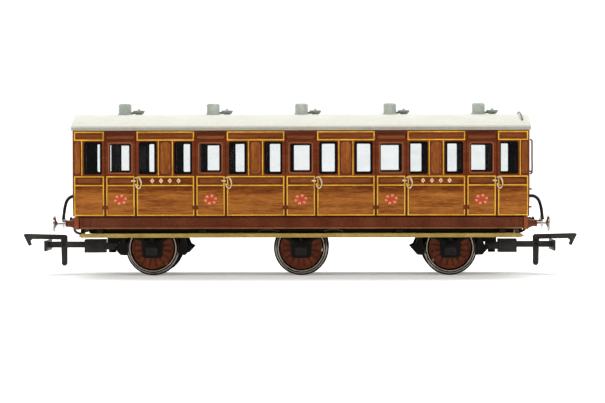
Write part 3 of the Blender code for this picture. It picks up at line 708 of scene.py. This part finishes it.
def handles():
    """Brass T handle and curved grab handle at each door."""
    parts = []
    for x in DOORS:
        pivot_x, pivot_z = x + 3.77, 27.17
        bar = block("bar", (pivot_x, -SIDE - 0.42, pivot_z), (1.16, 0.3, 0.44), (brass,), 0.08)
        boss = rod("boss", (pivot_x, -SIDE - 0.30, pivot_z), 0.28, 0.5, 20, brass)
        y = -SIDE - 0.36
        route = [(4.45, 28.12), (5.0, 28.2), (5.5, 27.9), (5.85, 27.3), (5.95, 26.6),
                 (5.85, 25.9), (5.6, 25.35), (5.2, 25.03), (4.8, 25.3), (4.5, 25.8), (4.42, 26.2)]
        parts.append(wire("grab", [(x + a, y, b) for a, b in route], 0.19, brass, 3, 6))
        for a, b in (route[0], route[-1]):
            deselect()
            bpy.ops.mesh.primitive_uv_sphere_add(segments=16, ring_count=10, radius=0.25 * MM,
                                                 location=point(x + a, y, b))
            parts.append(settle(new_piece("knob", brass)))
        parts += [bar, boss]
    return join("handles", parts)


both_sides(hinges(), "hinges")
both_sides(handles(), "handles")


# Lower and upper edge of the louvre field.
LOUVRE = (39.2, 39.95)


def middle_height(face):
    return face.calc_center_median().z / MM


def vents():
    """Hooded ventilator over each door: a sunk louvre field under a sunk lip; the hood is darkened
    as painted shade, while the louvre field keeps the cant rail teak.
    """
    parts = []
    for x in DOORS:
        hood = block("hood", (x, -SIDE - 0.22, 39.7), (7.7, 0.5, 1.9), (vent_shade_teak, cant_print))
        for z in LOUVRE:
            edit(hood)
            bpy.ops.mesh.bisect(plane_co=point(0, 0, z), plane_no=(0, 0, 1))
            done()
        edit(hood)
        pick(hood, lambda f: f.normal.y < -0.9 and LOUVRE[0] < middle_height(f) < LOUVRE[1])
        give(hood, 1)
        bpy.ops.mesh.inset(thickness=0.1 * MM, depth=0.06 * MM)
        pick(hood, lambda f: f.normal.y < -0.9 and middle_height(f) > LOUVRE[1])
        bpy.ops.mesh.inset(thickness=0.12 * MM, depth=0.05 * MM)
        done()
        parts.append(hood)
    return join("vent_hoods", parts)


both_sides(vents(), "vent_hoods")


# ---- transfers (generic)
def rosette(x, z):
    """Plain oval rosette: red heart and ring, cream petals between."""
    deselect()
    spokes = 24
    bpy.ops.mesh.primitive_circle_add(vertices=spokes, radius=1.0, fill_type="TRIFAN",
                                      location=(0, 0, 0), rotation=(math.pi / 2, 0, 0))
    obj = new_piece("rosette", rosette_red, rosette_cream)
    half_width, half_height = 1.9, 1.5
    obj.scale = (half_width * MM, half_height * MM, 1)
    obj.location = point(x, -SIDE - 0.13, z)
    settle(obj)
    edit(obj)
    bpy.ops.mesh.inset(thickness=0.09 * MM, use_individual=True)

    def petal(face):
        c = face.calc_center_median()
        angle = math.atan2((c.z / MM - z) / half_height, (c.x / MM - x) / half_width)
        sector = int(round(angle / (2 * math.pi / spokes) - 0.5)) % spokes
        return face.select and sector % 4 in (0, 1) and len(face.verts) == 3

    mesh = bmesh.from_edit_mesh(obj.data)
    chosen = [f for f in mesh.faces if petal(f)]
    bpy.ops.mesh.select_all(action="DESELECT")
    for face in chosen:
        face.select_set(True)
    bmesh.update_edit_mesh(obj.data)
    give(obj, 1)
    shift(y=-0.02)
    done()
    skirt(obj, 0.12)
    return obj


def lozenge(x, z):
    """Small diamond, cream with a red heart."""
    obj = flat("lozenge", (x - 0.62, x + 0.62), (z - 0.72, z + 0.72), -SIDE - 0.22, 0,
               (rosette_cream, rosette_red))
    edit(obj)
    bpy.ops.mesh.subdivide(number_cuts=1)
    pick(obj, lambda v: len(v.link_edges) == 2, "verts")
    bpy.ops.mesh.dissolve_verts()
    bpy.ops.mesh.select_all(action="SELECT")
    bpy.ops.mesh.inset(thickness=0.3 * MM)
    give(obj, 1)
    done()
    skirt(obj, 0.12)
    return obj


DOOR_MARK_HEIGHT, WAIST_MARK_HEIGHT = 21.9, 27.23
roses = lay_on_side(join("rosettes", [rosette(x, DOOR_MARK_HEIGHT) for x in DOORS]))
marks = join("lozenges", [
    lozenge(bay + dx, WAIST_MARK_HEIGHT)
    for bay in (BAYS[0], BAYS[3]) for dx in (-3.75, -1.25, 1.25, 3.75)])
both_sides(roses, "rosettes")
both_sides(marks, "lozenges")


# ---- end walls
def end_panels():
    """Plain beaded panels on the end walls, four across, each with a line of painted shade round
    it.
    """
    parts = []
    for k in range(4):
        x = -14.0 + 7.0 * k + 0.35
        for z, field in (((18.3, 25.4), panel_print), ((26.3, 39.5), waist_print)):
            obj = flat("panel", (x, x + 6.3), z, -HALF_LENGTH - 0.04, 0.5, (shade_line_ink, field))
            edit(obj)
            bpy.ops.mesh.inset(thickness=0.22 * MM)
            give(obj, 1)
            shift(y=-0.09)
            done()
            skirt(obj, 0.3)
            parts.append(obj)
    return join("end_panels", parts)


left_wall = end_panels()
left_wall.data.transform(Matrix.Rotation(-math.pi / 2, 4, "Z"))
right_wall = copied(left_wall, turn=math.pi)
left_wall.name = "end_panels_left"
right_wall.name = "end_panels_right"
for wall in (left_wall, right_wall):
    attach(wall, "coach")


# ---- turned pieces
def turned(name, outline, centre, axis, material, steps=48, sense=1):
    """Draw half the outline point by point, then spin it round the axis.

    The outline is pairs of radius and distance along the axis; sense -1 faces it
    the other way.
    """
    axes = {"X": Vector((1, 0, 0)), "Y": Vector((0, 1, 0)), "Z": Vector((0, 0, 1))}
    along = axes[axis]
    out = axes["X" if axis == "Z" else "Z"]
    middle = Vector(centre)
    points = [(middle + out * r + along * (sense * t)) * MM for r, t in outline]
    deselect()
    bpy.ops.mesh.primitive_plane_add(size=0.1 * MM, location=points[0])
    obj = settle(new_piece(name, material))
    edit(obj, "VERT")
    bpy.ops.mesh.merge(type="CENTER")
    for before, after in zip(points, points[1:]):
        bpy.ops.mesh.extrude_vertices_move(TRANSFORM_OT_translate={"value": after - before})
    bpy.ops.mesh.select_all(action="SELECT")
    bpy.ops.mesh.spin(steps=steps, angle=2 * math.pi, center=middle * MM, axis=along)
    bpy.ops.mesh.select_all(action="SELECT")
    bpy.ops.mesh.remove_doubles(threshold=0.0005 * MM)
    bpy.ops.mesh.normals_make_consistent(inside=False)
    done()
    smooth(obj, 32)
    return obj


def highlight_ring(c):
    """Painted highlight on the blackened tyre: bright metal on the fillet at the flange and on the
    front ring.
    """
    r = math.hypot(c.x, c.z)
    return (7.1 < r < 7.46 and 7.9 < abs(c.y) < 8.12) or (6.46 < r < 6.74 and abs(c.y) > 9.97)


def wheels():
    """Tyres, dark with rings of painted highlight on their steps, and the discs in them."""
    for place, centre in AXLES.items():
        body = "centre_wheels" if place == "centre" else "wheelset_" + place
        for tag, s in FLANKS.items():
            rim = centre.z - 0.002
            outline = [
                (6.06, 7.22), (7.30, 7.22), (rim, 7.42), (rim, 7.58), (7.47, 7.9), (7.16, 8.06),
                (7.05, 8.18), (7.05, 9.88), (6.97, 9.96), (6.76, 9.96), (6.72, 9.99),
                (6.48, 9.99), (6.44, 9.55), (6.06, 9.55), (6.06, 7.22),
            ]
            tyre = turned("tyre_rim_%s_%s" % (place, tag), outline, centre, "Y", tyre_dark, 96, s)
            tyre.data.materials.append(tyre_highlight_metal)
            edit(tyre)
            pick(tyre, lambda f: highlight_ring(f.calc_center_median() / MM - centre))
            give(tyre, 1)
            done()
            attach(tyre, body)
            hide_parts("tyre_%s_%s" % (place, tag))
            wheel_disc(place, tag, s, centre, body)


def shaded_groove(c):
    """The groove between the disc's rim and its retaining ring, painted dark as shade."""
    return 5.6 < math.hypot(c.x, c.z) < 5.75 and abs(c.y) < 9.5


def wheel_disc(place, tag, s, centre, body):
    """Segmented disc wheel: hub, sixteen teak-pattern segments, retaining ring with bolts."""
    outline = [
        (1.06, 6.62), (1.72, 6.62), (1.95, 7.62), (5.98, 7.62), (5.98, 9.62), (5.93, 9.72),
        (5.76, 9.72), (5.73, 9.46), (5.62, 9.46), (5.59, 9.7), (5.38, 9.7), (5.32, 9.6),
        (5.28, 9.36), (2.10, 9.36), (2.02, 9.5), (1.95, 9.8), (1.7, 10.3), (1.55, 10.43),
        (1.06, 10.43), (1.06, 6.62),
    ]
    disc = turned("disc", outline, centre, "Y", wheel_brown, 64, s)
    disc.data.materials.append(joint_dark_and_groove_shade)
    edit(disc)
    pick(disc, lambda f: shaded_groove(f.calc_center_median() / MM - centre))
    give(disc, 1)
    done()
    parts = [disc]

    def around(radius, angle, y):
        return (centre.x + radius * math.cos(angle), s * y, centre.z + radius * math.sin(angle))

    segments = 16
    half_step = math.pi / segments
    for k in range(segments):
        a = half_step * (2 * k + 1)
        rib = block("rib", (0, 0, 0), (2.95, 0.16, 0.2), (wheel_brown,), 0.05, 1)
        rib.location = point(*around(3.68, a, 9.40))
        rib.rotation_euler = (0, -a, 0)
        settle(rib)
        joint = flat("joint", (-1.6, 1.6), (-0.26, 0.26), 0, 0, (joint_dark_and_groove_shade,))
        skirt(joint, 0.05)
        joint.location = point(*around(3.68, a, 9.385))
        joint.rotation_euler = (0, -a, math.pi if s > 0 else 0)
        settle(joint)
        parts += [rib, joint]
        for radius in (4.1, 4.85):
            parts.append(bolt(around(radius, a + half_step, 9.40), 0.11, 8, wheel_brown))
    disc = join("wheel_disc_%s_%s" % (place, tag), parts)
    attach(disc, body)
    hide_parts("wheel_centre_%s_%s" % (place, tag))


wheels()

# Buffers: domed heads on thin bare shanks, and stepped housings round them.
HEAD = [
    (0.0, 70.99), (0.9, 70.98), (1.6, 70.9), (2.1, 70.75), (2.33, 70.58), (2.35, 70.42),
    (2.28, 70.3), (1.3, 70.02), (0.7, 69.86), (0.45, 69.66), (0.36, 69.4), (0.36, 66.8),
    (0.66, 66.78), (0.66, 66.30), (0.30, 66.28), (0.30, 64.60), (0.0, 64.60),
]
COLLAR = [(0.48, 66.4), (0.98, 66.4), (0.98, 67.18), (0.93, 67.24), (0.5, 67.24), (0.48, 66.4)]
FLANGE = [
    (0.97, 64.45), (1.85, 64.45), (1.85, 64.66), (1.6, 64.74), (1.45, 64.95), (1.2, 65.3),
    (1.08, 65.7), (1.0, 66.2), (0.97, 64.45),
]
for end, e in ENDS.items():
    for tag, s in FLANKS.items():
        name = "%s_%s" % (end, tag)
        centre = (0, s * 11.5, 15.0)
        head = turned("buffer_disc_" + name, HEAD, centre, "X", buffer_steel, 56, e)
        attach(head, "buffer_" + name)
        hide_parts("buffer_head_" + name)
        collar = turned("collar", COLLAR, centre, "X", solebar_brown, 40, e)
        flange = turned("flange", FLANGE, centre, "X", solebar_brown, 40, e)
        sleeve = join("buffer_sleeve_" + name, [collar, flange])
        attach(sleeve, "coach")


# Roof lamps: flanged drum with a cap, link pipe and a low bowl beside it; the bowl and pipe carry a
# darker copy of the lamp paint as painted shade.
def lamps():
    for number, x in enumerate(DOORS, start=1):
        drum = turned("drum", [
            (0.0, 46.27), (2.14, 46.27), (2.15, 46.38), (2.12, 46.5), (1.86, 46.58), (1.84, 46.7),
            (1.84, 48.75), (1.88, 48.8), (1.88, 49.0), (1.82, 49.1), (1.62, 49.16), (1.6, 49.3),
            (1.5, 49.38), (0.0, 49.39),
        ], (x, 0, 0), "Z", lamp_paint, 48)
        bowl = turned("bowl", [
            (0.0, 46.27), (0.85, 46.27), (1.3, 46.5), (1.62, 46.95), (1.7, 47.22), (1.7, 47.34),
            (1.6, 47.38), (0.5, 47.5), (0.3, 47.56), (0.28, 47.8), (0.2, 47.88), (0.0, 47.9),
        ], (x + 4.0, 0, 0), "Z", bowl_shade_paint, 40)
        pipe = turned("pipe", [
            (0.0, 1.7), (0.28, 1.7), (0.28, 2.35), (0.36, 2.4), (0.36, 2.55), (0.28, 2.6),
            (0.28, 3.1), (0.0, 3.1),
        ], (x, 0, 46.72), "X", bowl_shade_paint, 16)
        lamp = join("lamp_top_%d" % number, [drum, bowl, pipe])
        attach(lamp, "coach")
        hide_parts("roof_lamp_%d" % number)


lamps()


# ---- roof
def roof():
    """Slice of a large cylinder, with upright eaves and a wall thickness."""
    length = 130.2
    deselect()
    bpy.ops.mesh.primitive_cylinder_add(
        vertices=480, radius=ROOF_RADIUS * MM, depth=length * MM, end_fill_type="NOTHING",
        location=point(0, 0, CROWN - ROOF_RADIUS), rotation=(0, math.pi / 2, 0))
    shell = settle(new_piece("roof_shell", roof_paint, eave_shade_paint, eave_under))
    edit(shell)
    bpy.ops.mesh.bisect(plane_co=point(0, 0, SPRING), plane_no=(0, 0, 1), clear_inner=True)
    for x in (-64.6, 64.6):
        bpy.ops.mesh.select_all(action="SELECT")
        bpy.ops.mesh.bisect(plane_co=point(x, 0, 0), plane_no=(1, 0, 0))
    bpy.ops.mesh.select_mode(type="EDGE")
    pick(shell, lambda e: all(abs(v.co.z / MM - SPRING) < 0.02 for v in e.verts), "edges")
    for drop in (-0.3, -0.15, -0.33):
        bpy.ops.mesh.extrude_edges_move(TRANSFORM_OT_translate={"value": point(0, 0, drop)})
    bpy.ops.mesh.select_mode(type="FACE")
    # Slot 1, the greyer roof paint, is painted shade on the upright eave; slot 2 is a painted
    # shadow line along its lower edge.
    for slot, low, high in ((1, 41.9, 42.8), (2, 41.6, 41.9)):
        pick(shell, lambda f: low < middle_height(f) < high)
        give(shell, slot)
    done()
    only(shell)
    wall = shell.modifiers.new("wall", "SOLIDIFY")
    wall.thickness = 0.9 * MM
    wall.offset = -1.0
    bpy.ops.object.modifier_apply(modifier="wall")
    smooth(shell, 30)
    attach(shell, "coach")
    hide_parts("roof")
    # The gutter beads carry the greyer roof paint as painted shade.
    gutter = join("gutter_beads", [
        block("strip", (0, s * 16.40, 42.16), (length - 0.04, 0.26, 0.2), (eave_shade_paint,), 0.05)
        for s in (-1, 1)])
    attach(gutter, "coach")


roof()


# ---- wires and hoses
def collar_at(place, axis, radius, length, material):
    """Short turned collar."""
    half = length / 2
    outline = [(0.0, -half), (radius * 0.9, -half), (radius, -half * 0.7),
               (radius, half * 0.7), (radius * 0.9, half), (0.0, half)]
    return turned("collar", outline, place, axis, material, 24)


for end, e in ENDS.items():
    y = -e * 2.6
    route = [(65.15, 22.45), (66.4, 22.6), (67.3, 22.4), (68.1, 21.8), (68.65, 20.95),
             (68.95, 20.0), (69.2, 18.9), (69.35, 17.7), (69.5, 16.6), (69.65, 15.8)]
    hose = wire("hose", [(e * a, y, b) for a, b in route], 0.45, hose_black, 4)
    parts = [
        hose,
        collar_at((e * 65.2, y, 22.5), "X", 0.6, 0.5, hose_black),
        collar_at((e * 66.3, y, 22.58), "X", 0.48, 0.3, hose_black),
        collar_at((e * 69.6, y, 16.0), "Z", 0.5, 0.42, hose_black),
    ]
    parts += [collar_at((e * a, y, b), "Z", 0.5, 0.16, hose_black)
              for a, b in ((69.0, 19.8), (69.09, 19.4), (69.18, 19.0), (69.24, 18.6),
                           (69.29, 18.2), (69.34, 17.8), (69.39, 17.4), (69.44, 17.0))]
    hose = join("vacuum_hose_" + end, parts)
    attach(hose, "coach")
    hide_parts("brake_hose_" + end)
    y = e * 6.5
    route = [(64.95, 14.0), (65.25, 13.6), (65.3, 13.05), (64.95, 12.5), (64.2, 12.1),
             (63.2, 11.85), (62.3, 11.8)]
    stub = wire("stub", [(e * a, y, b) for a, b in route], 0.37, hose_black, 4)
    tail = collar_at((e * 62.6, y, 11.8), "X", 0.38, 0.4, hose_black)
    stub = join("steam_pipe_" + end, [stub, tail])
    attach(stub, "coach")
    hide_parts("heating_pipe_" + end)


def roof_height(y):
    return CROWN - ROOF_RADIUS + math.sqrt(ROOF_RADIUS ** 2 - y ** 2)


x = 62.95
half = [(12.3, roof_height(12.3) + 0.2), (11.6, 44.85), (8.8, 45.6), (6.0, 46.15), (3.0, 46.6)]
route = [(x, -y, z) for y, z in half] + [(x, 0.0, 46.8)] + [(x, y, z) for y, z in reversed(half)]
rail = wire("roof_wire", route, 0.2, khaki_wire_and_clip_highlight)
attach(rail, "coach")
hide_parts("roof_handrail")
for tag, s in FLANKS.items():
    wall = HALF_LENGTH + 0.22
    route = [(0, 38.7), (0.4, 38.6), (0.56, 38.2), (0.58, 37.6), (0.58, 33.8), (0.58, 30.0),
             (0.5, 29.3), (0, 29.0)]
    rail = wire("end_wire_" + tag, [(wall + a, s * 14.6, b) for a, b in route], 0.22, rail_brown)
    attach(rail, "coach")
    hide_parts("end_handrail_" + tag)


# ---- softened chassis pieces
def softened(node, name, body, width, material):
    """Fixed part with its edges eased, as a mould leaves them."""
    obj = nodes[node].copy()
    obj.data = nodes[node].data.copy()
    obj.parent = None
    bpy.context.collection.objects.link(obj)
    obj.name = name
    obj.data.name = name
    for key in list(obj.keys()):
        del obj[key]
    obj.data.materials.clear()
    obj.data.materials.append(material)
    edit(obj)
    bpy.ops.mesh.remove_doubles(threshold=0.002 * MM)
    bpy.ops.mesh.dissolve_limited(angle_limit=math.radians(0.5))
    done()
    only(obj)
    ease = obj.modifiers.new("ease", "BEVEL")
    ease.width = width * MM
    ease.segments = 2
    ease.limit_method = "ANGLE"
    ease.angle_limit = math.radians(40)
    ease.use_clamp_overlap = True
    bpy.ops.object.modifier_apply(modifier="ease")
    smooth(obj, 35)
    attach(obj, body)
    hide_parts(node)
    return obj


for tag in FLANKS:
    softened("footboard_" + tag, "step_board_" + tag, "coach", 0.12, board_tan)
    bar = softened("solebar_" + tag, "sole_member_" + tag, "coach", 0.06, solebar_brown)
    bar.data.materials.append(lip_highlight_brown)
    # The lower front faces take the lighter brown as painted highlight.
    edit(bar)
    pick(bar, lambda f: abs(f.normal.y) > 0.3 and f.calc_center_median().z < 13.98 * MM)
    give(bar, 1)
    done()
    for place in AXLES:
        spot = "%s_%s" % (place, tag)
        softened("axleguard_" + spot, "axle_iron_" + spot, "coach", 0.07, chassis_black)
for end in ENDS:
    softened("coupling_bar_" + end, "tension_bar_" + end, "coupling_" + end, 0.08, coupling_grey)
    softened("coupling_pocket_" + end, "pocket_arm_" + end, "coupling_" + end, 0.08, coupling_grey)
    softened("coupling_hook_" + end, "lift_hook_" + end, "hook_" + end, 0.08, coupling_grey)


# ---- solebar fittings
def brackets():
    """Thin upright brackets with bolt heads on the solebar."""
    parts = []
    for x in (-62.3, -60.1, -24.8, 24.8, 60.1, 62.3):
        plate = flat("plate", (x - 0.28, x + 0.28), (14.25, 16.7), -14.97, 0.08,
                     (solebar_brown,), 2)
        skirt(plate, 0.2)
        parts.append(plate)
        parts += [bolt((x, -15.0, z), 0.15, 10, solebar_brown) for z in (14.8, 16.1)]
    return join("solebar_brackets", parts)


both_sides(brackets(), "solebar_brackets")


def spring_leaves():
    """Stack of thin leaves over each axlebox, with a buckle."""
    y = -13.1
    camber = 0.022
    parts = []
    for centre in AXLES.values():
        for k in range(4):
            half = 5.3 - 1.1 * k
            leaf = block("leaf", (centre.x, y, 11.2 - 0.32 * k), (2 * half, 1.16, 0.24),
                         (chassis_black,))
            edit(leaf)
            bpy.ops.mesh.subdivide(number_cuts=6)
            bpy.ops.mesh.bevel(offset=0.03 * MM, segments=1, affect="EDGES")
            done()
            for vertex in leaf.data.vertices:
                offset = vertex.co.x / MM - centre.x
                vertex.co.z += camber * offset * offset * MM
            parts.append(leaf)
        parts.append(block("buckle", (centre.x, y, 10.72), (1.1, 1.3, 1.7), (chassis_black,), 0.1))
    return join("spring_leaves", parts)


def axlebox_lids():
    """Rounded cover with a sunk field on each axlebox."""
    parts = []
    for centre in AXLES.values():
        lid = flat("lid", (centre.x - 1.65, centre.x + 1.65), (5.95, 8.2), -14.05, 0.4, (lid_grey,))
        edit(lid)
        bpy.ops.mesh.inset(thickness=0.3 * MM)
        shift(y=-0.14)
        bpy.ops.mesh.inset(thickness=0.25 * MM)
        shift(y=0.06)
        done()
        skirt(lid, 0.2)
        parts.append(lid)
    return join("axlebox_lids", parts)


both_sides(spring_leaves(), "spring_leaves")
both_sides(axlebox_lids(), "axlebox_lids")


def pivot_blocks():
    """Moulded block over each coupling's pivot."""
    for end, e in ENDS.items():
        pivot = block("pivot_block_" + end, (e * 53.2, 0, 10.95), (6.0, 6.4, 3.2),
                      (chassis_black,), 0.15)
        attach(pivot, "coach")


pivot_blocks()


def clips():
    """Thin bent wires over the centre wheel, between the solebar and the step board; their khaki is
    a painted highlight where light catches the black hangers.
    """
    routes = (
        ((-12.2, 12.8), (-11.2, 13.15), (-8.0, 13.2), (-6.2, 12.85)),
        ((6.5, 12.85), (8.2, 13.2), (11.0, 13.15), (11.9, 12.8)),
    )
    return join("spring_clips", [
        wire("clip", [(x, -14.5, z) for x, z in route], 0.09, khaki_wire_and_clip_highlight, 2, 6)
        for route in routes])


both_sides(clips(), "spring_clips")


# ---- finishes on the fixed parts
FINISHES = {
    "body_shell": body_finish, "compartment_interior": seat_plastic,
    "ballast_plate": plate_steel, "underframe": chassis_black, "glazing_": glazing_clear,
    "buffer_beam_": beam_brown, "buffer_spring_": spring_steel, "axle_": axle_steel,
}
for name, node in nodes.items():
    for start, material in FINISHES.items():
        if name.startswith(start):
            node.data.materials.clear()
            node.data.materials.append(material)
    # The cast T handles on the shell, then the draw hooks on the beams.
    if name == "body_shell":
        node.data.materials.append(brass)
        for face in node.data.polygons:
            if abs(face.center.y) > 15.86 * MM and abs(face.center.z - 27.2 * MM) < 0.3 * MM:
                face.material_index = 1
    if name.startswith("buffer_beam"):
        node.data.materials.append(hose_black)
        for face in node.data.polygons:
            if abs(face.center.y) < 0.5 * MM and abs(face.center.x) > 64.6 * MM:
                face.material_index = 1


# ---- floor, backdrop and light
def plain(name, code, lighter, glow=0.0):
    """Matt painted board; a little cloudiness so that it isn't dead flat."""
    material, tree, shader, place = finish(name, Roughness=0.9)
    drift = cloud(tree, place, (400.0, 400.0, 400.0), 2.0)
    tree.links.new(tones(tree, drift, [(0.3, code), (0.7, lighter)]), shader.inputs["Base Color"])
    if glow:
        shader.inputs["Emission Color"].default_value = (1, 1, 1, 1)
        shader.inputs["Emission Strength"].default_value = glow
    return material


deselect()
bpy.ops.mesh.primitive_plane_add(size=6.0, location=(0, 0, 0))
floor = new_piece("floor", plain("floor_white_board", "e6e6e4", "ededeb", glow=0.23))
deselect()
bpy.ops.mesh.primitive_plane_add(size=6.0, location=(0, 1.15, 0), rotation=(math.pi / 2, 0, 0))
lit_panel = plain("backdrop_light_panel", "161616", "1c1c1c", glow=1.08)
backdrop = settle(new_piece("backdrop", lit_panel))


def softbox(name, place, target, size, power):
    """Rectangular area light aimed at target."""
    data = bpy.data.lights.new(name, "AREA")
    data.shape = "RECTANGLE"
    data.size, data.size_y = size
    data.energy = power
    light = bpy.data.objects.new(name, data)
    bpy.context.collection.objects.link(light)
    light.location = place
    aim = Vector(target) - Vector(place)
    light.rotation_euler = aim.to_track_quat("-Z", "Y").to_euler()


softbox("overhead_softbox", (0, 0.62, 1.15), (0, 0, 0), (1.8, 0.7), 21.0)
softbox("left_softbox", (-0.95, -0.85, 0.95), (0, 0, 0.03), (0.8, 0.6), 9.0)
softbox("right_softbox", (0.95, -0.85, 0.95), (0, 0, 0.03), (0.8, 0.6), 9.0)

world = bpy.data.worlds.new("studio")
world.use_nodes = True
world.node_tree.nodes["Background"].inputs[0].default_value = (1, 1, 1, 1)
world.node_tree.nodes["Background"].inputs[1].default_value = 0.08
scene.world = world
scene.view_settings.view_transform = "Standard"

# ---- camera
camera_data = bpy.data.cameras.new("camera")
camera = bpy.data.objects.new("camera", camera_data)
bpy.context.collection.objects.link(camera)
camera_data.sensor_width = 36.0
camera_data.lens = 140.25
camera_data.clip_start = 0.01
camera_data.clip_end = 20.0
camera.location = point(10.27, -683.8, 34.5)
# Slopes of the view: to the left and downward, for each unit forward.
aim = Vector((-0.01466837, 1.0, -0.01977041))
roll = Matrix.Rotation(math.radians(0.115), 4, aim.normalized())
facing = aim.to_track_quat("-Z", "Y").to_matrix().to_4x4()
camera.matrix_world = Matrix.Translation(camera.location) @ roll @ facing
scene.camera = camera
